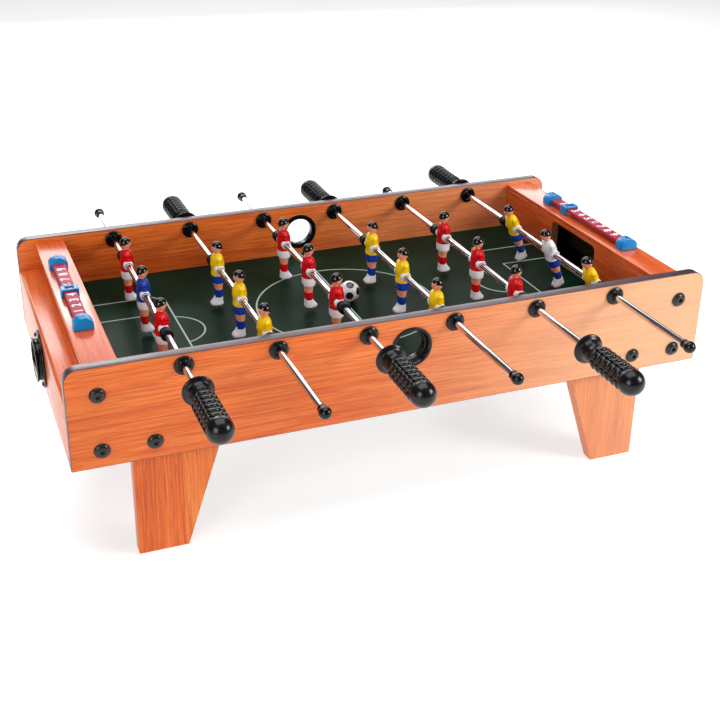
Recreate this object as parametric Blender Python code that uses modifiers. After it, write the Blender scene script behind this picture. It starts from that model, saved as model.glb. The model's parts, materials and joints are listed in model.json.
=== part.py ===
"""Tabletop foosball: a wooden box on four legs, six rods of players, ball returns and score counters.

X runs along the pitch, Y across it and Z up. Sizes are in metres. The origin is on the floor, under the
middle of the whole object's bounding box. The red team's rods are 1, 3 and 5, with handles at the front.
"""

import math

import bmesh
import bpy
from mathutils import Matrix

COLLECTION = "tabletop_foosball"

# Driving dimensions of the box.
TABLE_LENGTH = 0.690
TABLE_WIDTH = 0.358
TABLE_HEIGHT = 0.222
BOARD_HEIGHT = 0.106
BOARD_THICKNESS = 0.012
BOARD_CORNER = 0.014
PITCH_THICKNESS = 0.004
GAP = 0.0003

# The two ends: goal panel with the score shelf, and the box behind the goal.
END_DEPTH = 0.054
PANEL_THICKNESS = 0.009
SHELF_WIDTH = 0.0335
SHELF_THICKNESS = 0.005
SHELF_DROP = 0.005
GOAL_WIDTH = 0.096
GOAL_LINTEL = 0.004
GOAL_CORNER = 0.006
LEDGE_DROP = 0.038
LEDGE_THICKNESS = 0.006
LEDGE_ROUNDING = 0.004
RISER_THICKNESS = 0.004
RISER_SETBACK = 0.010
FLOOR_THICKNESS = 0.004

# Ball and the openings that it goes through.
BALL_RADIUS = 0.0123
BALL_X = 0.005
BALL_Y = 0.006
RETURN_RISE = 0.034
RETURN_PLAY = 0.0077
RETURN_WALL = 0.0025
RETURN_SPOUT = 0.008
RETURN_FLANGE_RIM = 0.0085
RETURN_FLANGE_THICKNESS = 0.0025
RETURN_EDGE = 0.0008
RETURN_LIP_DROP = 0.008
RETURN_SCREW_RADIUS = 0.0025
ENTRY_DROP = 0.033
ENTRY_PLAY = 0.0062
ENTRY_RIM = 0.0035
ENTRY_RIM_STANDOFF = 0.0015

# Legs.
LEG_THICKNESS = 0.015
LEG_OUTER_INSET = 0.006
LEG_FOOT_WIDTH = 0.051
LEG_TOP_WIDTH = 0.102

# Bolts through each end of the side boards.
BOLT_HEAD_RADIUS = 0.008
BOLT_HEAD_HEIGHT = 0.004
BOLT_END_INSET = 0.030
BOLT_LEG_INSET = 0.021
BOLT_LOW_HEIGHT = 0.018
BOLT_HIGH_HEIGHT = 0.077
BOLT_SINK = 0.001

# Rods, with their stops, end caps, handles and bushings.
ROD_COUNT = 6
ROD_END_SPACE = 0.05825
ROD_DROP = 0.012
ROD_RADIUS = 0.0035
# Where each rod rests, as a share of its travel to either side of the middle, and its turn in degrees.
ROD_REST_SHARES = (0.0, -0.96, -0.02, -0.98, -0.92, -0.96)
ROD_REST_TILTS = (0.0, 0.0, 0.0, 0.0, 0.0, 21.0)
STOP_CLEARANCE = 0.0015
STOP_TO_PLAYER = 0.0054
STOP_LENGTH = 0.009
STOP_WALL = 0.003
CAP_REACH = 0.030
CAP_RADIUS = 0.006
CAP_NECK_WALL = 0.001
BUSHING_WALL = 0.004
BUSHING_FLANGE_RIM = 0.0025
BUSHING_FLANGE_THICKNESS = 0.003
BUSHING_EDGE = 0.001
RUNNING_CLEARANCE = 0.00025
HANDLE_CLEARANCE = 0.001
HANDLE_LENGTH = 0.0855
HANDLE_RADIUS = 0.0127
HANDLE_COLLAR_RADIUS = 0.0153
HANDLE_COLLAR_THICKNESS = 0.0022
HANDLE_NECK_RADIUS = 0.0094
HANDLE_NECK_LENGTH = 0.014
HANDLE_SOCKET_DEPTH = 0.060

# Players, measured from the rod's axis.
PLAYER_SPACING = 0.088
PLAYER_CLEARANCE = 0.005
PLAYER_HEAD_TOP = 0.0305
HEAD_RADIUS = 0.0066
NECK_RADIUS = 0.0038
SHOULDER_HEIGHT = 0.0158
SHOULDER_DROP = 0.005
CHEST_RADIUS = 0.0108
WAIST_RADIUS = 0.0092
WAIST_DROP = 0.0080
SHORTS_RADIUS = 0.0090
SHORTS_BOTTOM = -0.0170
HEM_STEP = 0.0012
KNEE_RADIUS = 0.0068
ANKLE_RADIUS = 0.0055
BODY_FLATNESS = 0.80
SHOE_BOTTOM = -0.045
SHOE_HEIGHT = 0.0088
SHOE_LENGTH = 0.0150
SHOE_WIDTH = 0.0110
SHOE_FORWARD = 0.0020
SHOE_BEVEL = 0.0020

# Score counters.
SCORE_OUTWARD = 0.0018
SCORE_BLOCK_SPACING = 0.164
SCORE_BLOCK_LENGTH = 0.014
SCORE_BLOCK_WIDTH = 0.0200
SCORE_BLOCK_HEIGHT = 0.013
SCORE_BAR_WIDTH = 0.0135
SCORE_BAR_HEIGHT = 0.004
SCORE_BAR_STANDOFF = 0.0035
SLIDER_WALL = 0.0022
SLIDER_LENGTH = 0.0125
SLIDER_WINDOW_WIDTH = 0.0100
SLIDER_WINDOW_LENGTH = 0.0075
SLIDER_REST = {"left": 0.0, "right": 0.0426}

# Facet counts of the round pieces.
FINE = 32
MEDIUM = 20
COARSE = 12
BODY_FACETS = 10

# Sizes worked out from the ones above.
HALF_LENGTH = TABLE_LENGTH / 2
OUTER_FACE = TABLE_WIDTH / 2
INNER_FACE = OUTER_FACE - BOARD_THICKNESS
BETWEEN_BOARDS = 2 * (INNER_FACE - GAP)
BOARD_BOTTOM = TABLE_HEIGHT - BOARD_HEIGHT
PANEL_INNER = HALF_LENGTH - END_DEPTH
PANEL_OUTER = PANEL_INNER + PANEL_THICKNESS
SHELF_TOP = TABLE_HEIGHT - SHELF_DROP
SHELF_BOTTOM = SHELF_TOP - SHELF_THICKNESS
GOAL_TOP = SHELF_BOTTOM - GOAL_LINTEL
LEDGE_HEIGHT = TABLE_HEIGHT - LEDGE_DROP
RETURN_HEIGHT = BOARD_BOTTOM + RETURN_RISE
RETURN_BORE = BALL_RADIUS + RETURN_PLAY
RETURN_TUBE = RETURN_BORE + RETURN_WALL
RETURN_FLANGE = RETURN_TUBE + RETURN_FLANGE_RIM
ENTRY_HEIGHT = TABLE_HEIGHT - ENTRY_DROP
ENTRY_BORE = BALL_RADIUS + ENTRY_PLAY
ENTRY_OUTER = ENTRY_BORE + ENTRY_RIM
ROD_HEIGHT = TABLE_HEIGHT - ROD_DROP
ROD_SPACING = 2 * (PANEL_INNER - ROD_END_SPACE) / (ROD_COUNT - 1)
PITCH_HEIGHT = ROD_HEIGHT + SHOE_BOTTOM - PLAYER_CLEARANCE
BUSHING_TUBE_RADIUS = ROD_RADIUS + BUSHING_WALL
BUSHING_FLANGE_RADIUS = BUSHING_TUBE_RADIUS + BUSHING_FLANGE_RIM
BUSHING_INNER = INNER_FACE - BUSHING_FLANGE_THICKNESS - GAP
BUSHING_OUTER = OUTER_FACE + BUSHING_FLANGE_THICKNESS + GAP
STOP_RADIUS = ROD_RADIUS + STOP_WALL
STOP_INNER = PLAYER_SPACING + CHEST_RADIUS + STOP_TO_PLAYER
STOP_OUTER = STOP_INNER + STOP_LENGTH
ROD_TRAVEL = BUSHING_INNER - STOP_OUTER - STOP_CLEARANCE
HANDLE_START = BUSHING_OUTER + ROD_TRAVEL + HANDLE_CLEARANCE
HANDLE_END = HANDLE_START + HANDLE_LENGTH
ROD_SOCKET_END = HANDLE_START + HANDLE_SOCKET_DEPTH
CAP_NECK = ROD_RADIUS + CAP_NECK_WALL
CAP_START = BUSHING_OUTER + ROD_TRAVEL + CAP_REACH - CAP_RADIUS
CAP_END = CAP_START + 2 * CAP_RADIUS
SCORE_MIDDLE = PANEL_INNER + SHELF_WIDTH / 2 + SCORE_OUTWARD
SCORE_RAIL_BOTTOM = SHELF_TOP + GAP
SCORE_BAR_BOTTOM = SCORE_RAIL_BOTTOM + SCORE_BAR_STANDOFF
SCORE_BAR_TOP = SCORE_BAR_BOTTOM + SCORE_BAR_HEIGHT


def handle_side(rod):
    """-1 for a rod whose handle is at the front, +1 for one whose handle is at the back."""
    return -1 if rod % 2 else 1


def rest_offset(rod):
    """How far along Y a rod rests from the middle of its travel."""
    return ROD_REST_SHARES[rod - 1] * ROD_TRAVEL


def rod_x(rod):
    """Place of a rod along the pitch, counted from the middle."""
    return (rod - (ROD_COUNT + 1) / 2) * ROD_SPACING


def middle_of_whole_object():
    """How far the box has to move along Y so that the handles' two ends are equally far out."""
    ends = []
    for rod in range(1, ROD_COUNT + 1):
        side = handle_side(rod)
        offset = rest_offset(rod)
        ends.append(offset + side * HANDLE_END)
        ends.append(offset - side * CAP_END)
    return -(min(ends) + max(ends)) / 2


def clear_scene():
    for obj in list(bpy.data.objects):
        bpy.data.objects.remove(obj, do_unlink=True)


def new_collection(name, hidden=False):
    collection = bpy.data.collections.new(name)
    bpy.context.scene.collection.children.link(collection)
    collection.hide_render = hidden
    return collection


def material(name, color, roughness, metallic=0.0):
    found = bpy.data.materials.new(name)
    found.use_nodes = True
    shader = found.node_tree.nodes["Principled BSDF"]
    shader.inputs["Base Color"].default_value = (*color, 1.0)
    shader.inputs["Roughness"].default_value = roughness
    shader.inputs["Metallic"].default_value = metallic
    return found


clear_scene()
PARTS = new_collection(COLLECTION)
CUTTERS = new_collection("cutters", hidden=True)

CHERRY = material("cherry_laminate", (0.76, 0.24, 0.07), 0.32)
PITCH_GREEN = material("pitch_green", (0.01, 0.035, 0.02), 0.45)
BLACK_PLASTIC = material("black_plastic", (0.012, 0.012, 0.013), 0.3)
BLACK_RUBBER = material("black_rubber", (0.02, 0.02, 0.022), 0.55)
CHROME = material("chromed_steel", (0.82, 0.82, 0.84), 0.12, 1.0)
RED = material("red_player", (0.75, 0.02, 0.02), 0.3)
RED_KEEPER = material("blue_player", (0.03, 0.1, 0.55), 0.3)
YELLOW = material("yellow_player", (0.9, 0.72, 0.02), 0.3)
YELLOW_KEEPER = material("white_player", (0.85, 0.85, 0.87), 0.3)
MAROON = material("maroon_score_bar", (0.42, 0.04, 0.08), 0.35)
BLUE = material("blue_score_plastic", (0.0, 0.22, 0.62), 0.3)
BALL_WHITE = material("ball_white", (0.85, 0.85, 0.85), 0.35)

ROOT = bpy.data.objects.new("foosball_origin", None)
ROOT.location = (0.0, middle_of_whole_object(), 0.0)
PARTS.objects.link(ROOT)


def place(obj, surface, location=(0, 0, 0), rotation=(0, 0, 0), parent=None):
    """Gives an object its material, place and parent."""
    if obj.type == "MESH" and not obj.data.materials:
        obj.data.materials.append(surface)
    elif obj.type == "CURVE":
        obj.data.materials.append(surface)
    obj.location = location
    obj.rotation_euler = rotation
    obj.parent = parent or ROOT
    PARTS.objects.link(obj)
    return obj


def cutter(obj, location=(0, 0, 0), rotation=(0, 0, 0)):
    """Keeps a helper of a Boolean out of the render. Its place is in its piece's own space."""
    obj.location = location
    obj.rotation_euler = rotation
    obj.hide_render = True
    obj.display_type = "WIRE"
    CUTTERS.objects.link(obj)
    return obj


def mesh_object(name, build, smooth=False):
    """A new object whose mesh is filled in by build(bmesh)."""
    mesh = bpy.data.meshes.new(name)
    shape = bmesh.new()
    build(shape)
    bmesh.ops.recalc_face_normals(shape, faces=shape.faces)
    for face in shape.faces:
        face.smooth = smooth
    shape.to_mesh(mesh)
    shape.free()
    return bpy.data.objects.new(name, mesh)


def box(name, low, high):
    """A box between two corners."""
    size = [top - bottom for bottom, top in zip(low, high)]
    middle = [(top + bottom) / 2 for bottom, top in zip(low, high)]

    def build(shape):
        fit = Matrix.Translation(middle) @ Matrix.Diagonal((*size, 1.0))
        bmesh.ops.create_cube(shape, size=1.0, matrix=fit)

    return mesh_object(name, build)


def cylinder(name, radius, length, facets):
    """A cylinder on Z, centred on the origin."""

    def build(shape):
        bmesh.ops.create_cone(
            shape, cap_ends=True, segments=facets, radius1=radius, radius2=radius, depth=length
        )

    return mesh_object(name, build, smooth=True)


def turned(name, profile, facets, hollow=False):
    """A profile of (radius, height) points, from top to bottom, turned about Z. A hollow one is a loop."""
    mesh = bpy.data.meshes.new(name)
    points = [(radius, 0.0, height) for radius, height in profile]
    edges = [(i, i + 1) for i in range(len(points) - 1)]
    if hollow:
        edges.append((len(points) - 1, 0))
    mesh.from_pydata(points, edges, [])
    obj = bpy.data.objects.new(name, mesh)
    screw = obj.modifiers.new("turn", "SCREW")
    screw.axis = "Z"
    screw.steps = facets
    screw.render_steps = facets
    screw.use_merge_vertices = True
    screw.merge_threshold = 0.00001
    screw.use_smooth_shade = True
    return obj


def outline(name, loops, thickness):
    """Flat closed loops of 2D points in XY, an outer one and its holes, extruded to a thickness about Z."""
    curve = bpy.data.curves.new(name, "CURVE")
    curve.dimensions = "2D"
    curve.fill_mode = "BOTH"
    curve.extrude = thickness / 2
    for loop in loops:
        spline = curve.splines.new("POLY")
        spline.points.add(len(loop) - 1)
        for point, (x, y) in zip(spline.points, loop):
            point.co = (x, y, 0.0, 1.0)
        spline.use_cyclic_u = True
    return bpy.data.objects.new(name, curve)


def solid_from(obj):
    """A mesh object from an object's evaluated shape, with its seams welded."""
    PARTS.objects.link(obj)
    graph = bpy.context.evaluated_depsgraph_get()
    mesh = bpy.data.meshes.new_from_object(obj.evaluated_get(graph))
    shape = bmesh.new()
    shape.from_mesh(mesh)
    bmesh.ops.remove_doubles(shape, verts=shape.verts, dist=0.00001)
    bmesh.ops.recalc_face_normals(shape, faces=shape.faces)
    shape.to_mesh(mesh)
    shape.free()
    name = obj.name
    bpy.data.objects.remove(obj, do_unlink=True)
    return bpy.data.objects.new(name, mesh)


def combine(obj, operation, helper):
    """Adds a Boolean with a helper that is already placed relative to obj."""
    helper.parent = obj
    modifier = obj.modifiers.new(helper.name, "BOOLEAN")
    modifier.operation = operation
    modifier.solver = "EXACT"
    modifier.object = helper
    return obj


def arc(center, radius, start, end, steps):
    """Points of an arc in 2D, with angles in degrees."""
    angles = [math.radians(start + (end - start) * i / steps) for i in range(steps + 1)]
    return [(center[0] + radius * math.cos(a), center[1] + radius * math.sin(a)) for a in angles]


def rounded_rectangle(low, high, radius, steps):
    corners = (
        ((high[0] - radius, high[1] - radius), 0),
        ((low[0] + radius, high[1] - radius), 90),
        ((low[0] + radius, low[1] + radius), 180),
        ((high[0] - radius, low[1] + radius), 270),
    )
    points = []
    for center, start in corners:
        points += arc(center, radius, start, start + 90, steps)
    return points


def side_board(name, side):
    """A long side: rounded top corners, six bushing holes, the rimmed ball entry and six bolt heads."""
    top = TABLE_HEIGHT - BOARD_CORNER
    corner_x = HALF_LENGTH - BOARD_CORNER
    edge = [(-HALF_LENGTH, BOARD_BOTTOM), (HALF_LENGTH, BOARD_BOTTOM)]
    edge += arc((corner_x, top), BOARD_CORNER, 0, 90, 5)
    edge += arc((-corner_x, top), BOARD_CORNER, 90, 180, 5)
    board = solid_from(outline(name, [edge], BOARD_THICKNESS))
    through = 2 * BOARD_THICKNESS
    for rod in range(1, ROD_COUNT + 1):
        hole = cylinder(f"{name}_hole_{rod}", BUSHING_TUBE_RADIUS + GAP, through, COARSE)
        combine(board, "DIFFERENCE", cutter(hole, (rod_x(rod), ROD_HEIGHT, 0.0)))
    seat = cylinder(f"{name}_entry_hole", ENTRY_BORE + ENTRY_RIM / 2, through, FINE)
    combine(board, "DIFFERENCE", cutter(seat, (0.0, ENTRY_HEIGHT, 0.0)))
    half = BOARD_THICKNESS / 2
    profile = [
        (ENTRY_OUTER, half + ENTRY_RIM_STANDOFF),
        (ENTRY_OUTER, -half - ENTRY_RIM_STANDOFF),
        (ENTRY_BORE, -half - ENTRY_RIM_STANDOFF),
        (ENTRY_BORE, half + ENTRY_RIM_STANDOFF),
    ]
    rim = cutter(turned(f"{name}_entry_rim", profile, FINE, hollow=True), (0.0, ENTRY_HEIGHT, 0.0))
    combine(board, "UNION", rim)
    depth = BOLT_HEAD_HEIGHT + BOLT_SINK
    # The board stands up by a quarter turn about X, which takes its own +Z to the front.
    outward = -side * (half + BOLT_HEAD_HEIGHT - depth / 2)
    for i, (x, z) in enumerate(bolt_places()):
        head = cylinder(f"{name}_bolt_{i}", BOLT_HEAD_RADIUS, depth, COARSE)
        combine(board, "UNION", cutter(head, (x, z, outward)))
    middle = side * (OUTER_FACE - half)
    return place(board, CHERRY, (0.0, middle, 0.0), (math.pi / 2, 0.0, 0.0))


def bolt_places():
    """(x, z) of the three bolts at each end: two hold the end box, one holds the leg."""
    places = []
    for end in (-1, 1):
        outer = end * (HALF_LENGTH - BOLT_END_INSET)
        leg = end * (PANEL_INNER - LEG_OUTER_INSET - BOLT_LEG_INSET)
        low = BOARD_BOTTOM + BOLT_LOW_HEIGHT
        places += [(outer, BOARD_BOTTOM + BOLT_HIGH_HEIGHT), (outer, low), (leg, low)]
    return places


def goal_panel(name, end):
    """The inner end: a panel with the goal opening, and the shelf that carries the score counter."""
    half = INNER_FACE - GAP
    panel = [(-half, BOARD_BOTTOM), (half, BOARD_BOTTOM), (half, SHELF_TOP), (-half, SHELF_TOP)]
    goal = rounded_rectangle(
        (-GOAL_WIDTH / 2, PITCH_HEIGHT), (GOAL_WIDTH / 2, GOAL_TOP), GOAL_CORNER, 4
    )
    body = solid_from(outline(name, [panel, goal], PANEL_THICKNESS))
    # Upright by the rotation below, the panel's own X is Y, its Y is Z and its Z is X.
    inner = -end * PANEL_THICKNESS / 2
    outer = inner + end * SHELF_WIDTH
    low = (-half, SHELF_BOTTOM, min(inner, outer))
    high = (half, SHELF_TOP, max(inner, outer))
    combine(body, "UNION", cutter(box(f"{name}_shelf", low, high)))
    middle = end * (PANEL_INNER + PANEL_THICKNESS / 2)
    return place(body, CHERRY, (middle, 0.0, 0.0), (math.pi / 2, 0.0, math.pi / 2))


def end_box(name, end):
    """The box behind the goal: outer wall, ledge, riser under the shelf and the floor the ball rolls on."""
    inner_wall = HALF_LENGTH - BOARD_THICKNESS
    riser_out = PANEL_INNER + SHELF_WIDTH - RISER_SETBACK
    riser_in = riser_out - RISER_THICKNESS
    floor_top = RETURN_HEIGHT - RETURN_BORE
    floor_in = PANEL_OUTER + GAP
    ledge_bottom = LEDGE_HEIGHT - LEDGE_THICKNESS
    section = [(HALF_LENGTH, BOARD_BOTTOM)]
    corner = (HALF_LENGTH - LEDGE_ROUNDING, LEDGE_HEIGHT - LEDGE_ROUNDING)
    section += arc(corner, LEDGE_ROUNDING, 0, 90, 3)
    section += [
        (riser_out, LEDGE_HEIGHT),
        (riser_out, SHELF_BOTTOM - GAP),
        (riser_in, SHELF_BOTTOM - GAP),
        (riser_in, ledge_bottom),
        (inner_wall, ledge_bottom),
        (inner_wall, floor_top),
        (floor_in, floor_top),
        (floor_in, floor_top - FLOOR_THICKNESS),
        (inner_wall, floor_top - FLOOR_THICKNESS),
        (inner_wall, BOARD_BOTTOM),
    ]
    section = [(end * x, z) for x, z in section]
    body = solid_from(outline(name, [section], BETWEEN_BOARDS))
    bore = cylinder(f"{name}_return_bore", RETURN_TUBE + GAP, 2 * BOARD_THICKNESS, FINE)
    middle = (end * (HALF_LENGTH - BOARD_THICKNESS / 2), RETURN_HEIGHT, 0.0)
    combine(body, "DIFFERENCE", cutter(bore, middle, (0.0, math.pi / 2, 0.0)))
    return place(body, CHERRY, rotation=(math.pi / 2, 0.0, 0.0))


def ball_return_cup(name, end):
    """A tube through the end wall, with a screwed flange, a short spout and a lip that keeps the ball in."""
    face = GAP
    flange = face + RETURN_FLANGE_THICKNESS
    mouth = face + RETURN_SPOUT
    tube = RETURN_TUBE
    profile = [
        (tube, mouth),
        (tube, flange),
        (RETURN_FLANGE - RETURN_EDGE, flange),
        (RETURN_FLANGE, flange - RETURN_EDGE),
        (RETURN_FLANGE, face),
        (tube, face),
        (tube, -BOARD_THICKNESS),
        (RETURN_BORE, -BOARD_THICKNESS),
        (RETURN_BORE, mouth),
    ]
    cup = solid_from(turned(name, profile, FINE, hollow=True))

    def lip_shape(shape):
        bmesh.ops.create_cone(
            shape,
            cap_ends=True,
            segments=FINE,
            radius1=tube - RETURN_WALL / 2,
            radius2=tube - RETURN_WALL / 2,
            depth=RETURN_WALL,
        )
        everything = list(shape.verts) + list(shape.edges) + list(shape.faces)
        bmesh.ops.bisect_plane(
            shape,
            geom=everything,
            plane_co=(RETURN_LIP_DROP, 0.0, 0.0),
            plane_no=(-1.0, 0.0, 0.0),
            clear_outer=True,
        )
        bmesh.ops.holes_fill(shape, edges=shape.edges)

    lip = mesh_object(f"{name}_lip", lip_shape)
    combine(cup, "UNION", cutter(lip, (0.0, 0.0, mouth - RETURN_WALL / 2)))
    ring = (RETURN_FLANGE + tube) / 2
    for i, angle in enumerate((35, 145, 215, 325)):
        turn = math.radians(angle)
        head = cylinder(f"{name}_screw_{i}", RETURN_SCREW_RADIUS, RETURN_FLANGE_THICKNESS, BODY_FACETS)
        spot = (ring * math.cos(turn), ring * math.sin(turn), flange)
        combine(cup, "UNION", cutter(head, spot))
    place(cup, BLACK_PLASTIC, (end * HALF_LENGTH, 0.0, RETURN_HEIGHT))
    # The cup's own +Z points out of the table and its own +X points down.
    cup.rotation_euler = (0.0, math.pi / 2, 0.0) if end > 0 else (math.pi, math.pi / 2, 0.0)
    return cup


def playfield():
    low = (-PANEL_INNER + GAP, -INNER_FACE + GAP, PITCH_HEIGHT - PITCH_THICKNESS)
    high = (PANEL_INNER - GAP, INNER_FACE - GAP, PITCH_HEIGHT)
    return place(box("playfield", low, high), PITCH_GREEN)


def leg(name, end, side):
    """A flat board with an upright outer edge and a slanting inner edge, inside the side board."""
    outer = PANEL_INNER - LEG_OUTER_INSET
    top = PITCH_HEIGHT - PITCH_THICKNESS - GAP
    edge = [(outer, 0.0), (outer, top), (outer - LEG_TOP_WIDTH, top), (outer - LEG_FOOT_WIDTH, 0.0)]
    board = outline(name, [[(end * x, z) for x, z in edge]], LEG_THICKNESS)
    middle = side * (INNER_FACE - GAP - LEG_THICKNESS / 2)
    return place(board, CHERRY, (0.0, middle, 0.0), (math.pi / 2, 0.0, 0.0))


def bushing(name, rod, side):
    """A flanged plastic bearing through a side board. The rod runs in its bore."""
    bore = ROD_RADIUS + RUNNING_CLEARANCE
    profile = [
        (BUSHING_FLANGE_RADIUS - BUSHING_EDGE, BUSHING_OUTER),
        (BUSHING_FLANGE_RADIUS, BUSHING_OUTER - BUSHING_EDGE),
        (BUSHING_FLANGE_RADIUS, OUTER_FACE + GAP),
        (BUSHING_TUBE_RADIUS, OUTER_FACE + GAP),
        (BUSHING_TUBE_RADIUS, INNER_FACE - GAP),
        (BUSHING_FLANGE_RADIUS, INNER_FACE - GAP),
        (BUSHING_FLANGE_RADIUS, BUSHING_INNER),
        (bore, BUSHING_INNER),
        (bore, BUSHING_OUTER),
    ]
    body = turned(name, profile, COARSE, hollow=True)
    return place(body, BLACK_PLASTIC, (rod_x(rod), 0.0, ROD_HEIGHT), (-side * math.pi / 2, 0.0, 0.0))


def rod_axis(rod):
    """The empty on a rod's axis that its rod, handle and players hang from."""
    axis = bpy.data.objects.new(f"rod_{rod}_axis", None)
    axis.location = (rod_x(rod), rest_offset(rod), ROD_HEIGHT)
    axis.rotation_euler = (0.0, -math.radians(ROD_REST_TILTS[rod - 1]), 0.0)
    axis.parent = ROOT
    PARTS.objects.link(axis)
    return axis


def rod_body(name, side, axis):
    """A steel rod with its ball-shaped end cap and the two rubber stops. Its +Z is the cap's end."""
    middle = (CAP_START + CAP_END) / 2
    cap = [
        (CAP_RADIUS * math.cos(math.radians(a)), middle + CAP_RADIUS * math.sin(math.radians(a)))
        for a in (90, 60, 30, 0, -30)
    ]
    cap[0] = (0.0, CAP_END)
    profile = cap + [
        (CAP_NECK, CAP_START),
        (CAP_NECK, CAP_START - CAP_RADIUS / 2),
        (ROD_RADIUS, CAP_START - CAP_RADIUS / 2),
        (ROD_RADIUS, STOP_OUTER),
        (STOP_RADIUS, STOP_OUTER),
        (STOP_RADIUS, STOP_INNER),
        (ROD_RADIUS, STOP_INNER),
        (ROD_RADIUS, -STOP_INNER),
        (STOP_RADIUS, -STOP_INNER),
        (STOP_RADIUS, -STOP_OUTER),
        (ROD_RADIUS, -STOP_OUTER),
        (ROD_RADIUS, -ROD_SOCKET_END),
        (0.0, -ROD_SOCKET_END),
    ]
    return place(turned(name, profile, COARSE), CHROME, rotation=(side * math.pi / 2, 0.0, 0.0), parent=axis)


def handle(name, side, axis):
    """A rubber grip with a thin collar, a neck and a round end, and a blind socket for the rod."""
    bore = ROD_RADIUS + GAP
    neck = HANDLE_START + HANDLE_NECK_LENGTH
    dome = HANDLE_END - HANDLE_RADIUS
    dome_points = [
        (HANDLE_RADIUS * math.cos(math.radians(a)), dome + HANDLE_RADIUS * math.sin(math.radians(a)))
        for a in (90, 65, 40, 20, 0)
    ]
    dome_points[0] = (0.0, HANDLE_END)
    collar = HANDLE_START + HANDLE_COLLAR_THICKNESS
    profile = dome_points + [
        (HANDLE_RADIUS, neck),
        (HANDLE_NECK_RADIUS, neck - HANDLE_NECK_LENGTH / 4),
        (HANDLE_NECK_RADIUS, collar + HANDLE_NECK_LENGTH / 4),
        (HANDLE_COLLAR_RADIUS, collar),
        (HANDLE_COLLAR_RADIUS, HANDLE_START),
        (bore, HANDLE_START),
        (bore, ROD_SOCKET_END + GAP),
        (0.0, ROD_SOCKET_END + GAP),
    ]
    grip = turned(name, profile, MEDIUM)
    return place(grip, BLACK_RUBBER, rotation=(-side * math.pi / 2, 0.0, 0.0), parent=axis)


def player_mesh():
    """One moulded figure facing +X, with its origin on the rod's axis and a bore along Y for the rod."""
    head = PLAYER_HEAD_TOP - HEAD_RADIUS
    shoe_top = SHOE_BOTTOM + SHOE_HEIGHT
    profile = [
        (0.0, PLAYER_HEAD_TOP),
        (HEAD_RADIUS * 0.7, head + HEAD_RADIUS * 0.7),
        (HEAD_RADIUS, head),
        (HEAD_RADIUS * 0.75, head - HEAD_RADIUS * 0.7),
        (NECK_RADIUS, SHOULDER_HEIGHT + HEM_STEP),
        (CHEST_RADIUS * 0.8, SHOULDER_HEIGHT),
        (CHEST_RADIUS, SHOULDER_HEIGHT - SHOULDER_DROP),
        (CHEST_RADIUS, 0.0),
        (WAIST_RADIUS, -WAIST_DROP),
        (SHORTS_RADIUS, SHORTS_BOTTOM),
        (KNEE_RADIUS, SHORTS_BOTTOM - HEM_STEP),
        (ANKLE_RADIUS, shoe_top),
        (ANKLE_RADIUS, shoe_top - SHOE_HEIGHT / 2),
        (0.0, shoe_top - SHOE_HEIGHT / 2),
    ]
    figure = solid_from(turned("player_pattern", profile, BODY_FACETS))
    figure.data.transform(Matrix.Diagonal((BODY_FLATNESS, 1.0, 1.0, 1.0)))
    heel = SHOE_FORWARD - SHOE_LENGTH / 2
    toe = SHOE_FORWARD + SHOE_LENGTH / 2
    shoe = box("player_shoe", (heel, -SHOE_WIDTH / 2, SHOE_BOTTOM), (toe, SHOE_WIDTH / 2, shoe_top))
    bevel = shoe.modifiers.new("soften", "BEVEL")
    bevel.width = SHOE_BEVEL
    bevel.segments = 1
    combine(figure, "UNION", cutter(shoe))
    bore = cylinder("player_bore", ROD_RADIUS + GAP, 4 * CHEST_RADIUS, COARSE)
    combine(figure, "DIFFERENCE", cutter(bore, rotation=(math.pi / 2, 0.0, 0.0)))
    return solid_from(figure).data


def players(rod, axis, pattern):
    """Three figures on one rod. The middle one is the one that wears the other color on a keeper's rod."""
    facing = 0.0 if rod % 2 else math.pi
    for spot, row in (("back", 1), ("middle", 0), ("front", -1)):
        surface = RED if rod % 2 else YELLOW
        if spot == "middle" and rod == 1:
            surface = RED_KEEPER
        if spot == "middle" and rod == ROD_COUNT:
            surface = YELLOW_KEEPER
        figure = bpy.data.objects.new(f"rod_{rod}_player_{spot}", pattern.copy())
        place(figure, surface, (0.0, row * PLAYER_SPACING, 0.0), (0.0, 0.0, facing), axis)


def score_rail(name, end):
    """The counter's bar between two arched end blocks."""
    half = SCORE_BLOCK_SPACING / 2
    wide = SCORE_BAR_WIDTH / 2
    body = box(
        name,
        (-wide, -half, SCORE_BAR_BOTTOM - SCORE_RAIL_BOTTOM),
        (wide, half, SCORE_BAR_TOP - SCORE_RAIL_BOTTOM),
    )
    for side in (-1, 1):
        block = arched_block(f"{name}_block_{side + 1}")
        combine(body, "UNION", cutter(block, (0.0, side * half, 0.0), (math.pi / 2, 0.0, 0.0)))
    return place(body, MAROON, (end * SCORE_MIDDLE, 0.0, SCORE_RAIL_BOTTOM))


def arched_block(name):
    """A counter's end block on its base, with short upright sides and an arched top."""
    half = SCORE_BLOCK_WIDTH / 2
    rise = SCORE_BLOCK_HEIGHT / 2
    radius = (half**2 + rise**2) / (2 * rise)
    sweep = math.degrees(math.asin(half / radius))
    top = arc((0.0, SCORE_BLOCK_HEIGHT - radius), radius, 90 - sweep, 90 + sweep, 8)
    return solid_from(outline(name, [[(-half, 0.0), (half, 0.0)] + top], SCORE_BLOCK_LENGTH))


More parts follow.
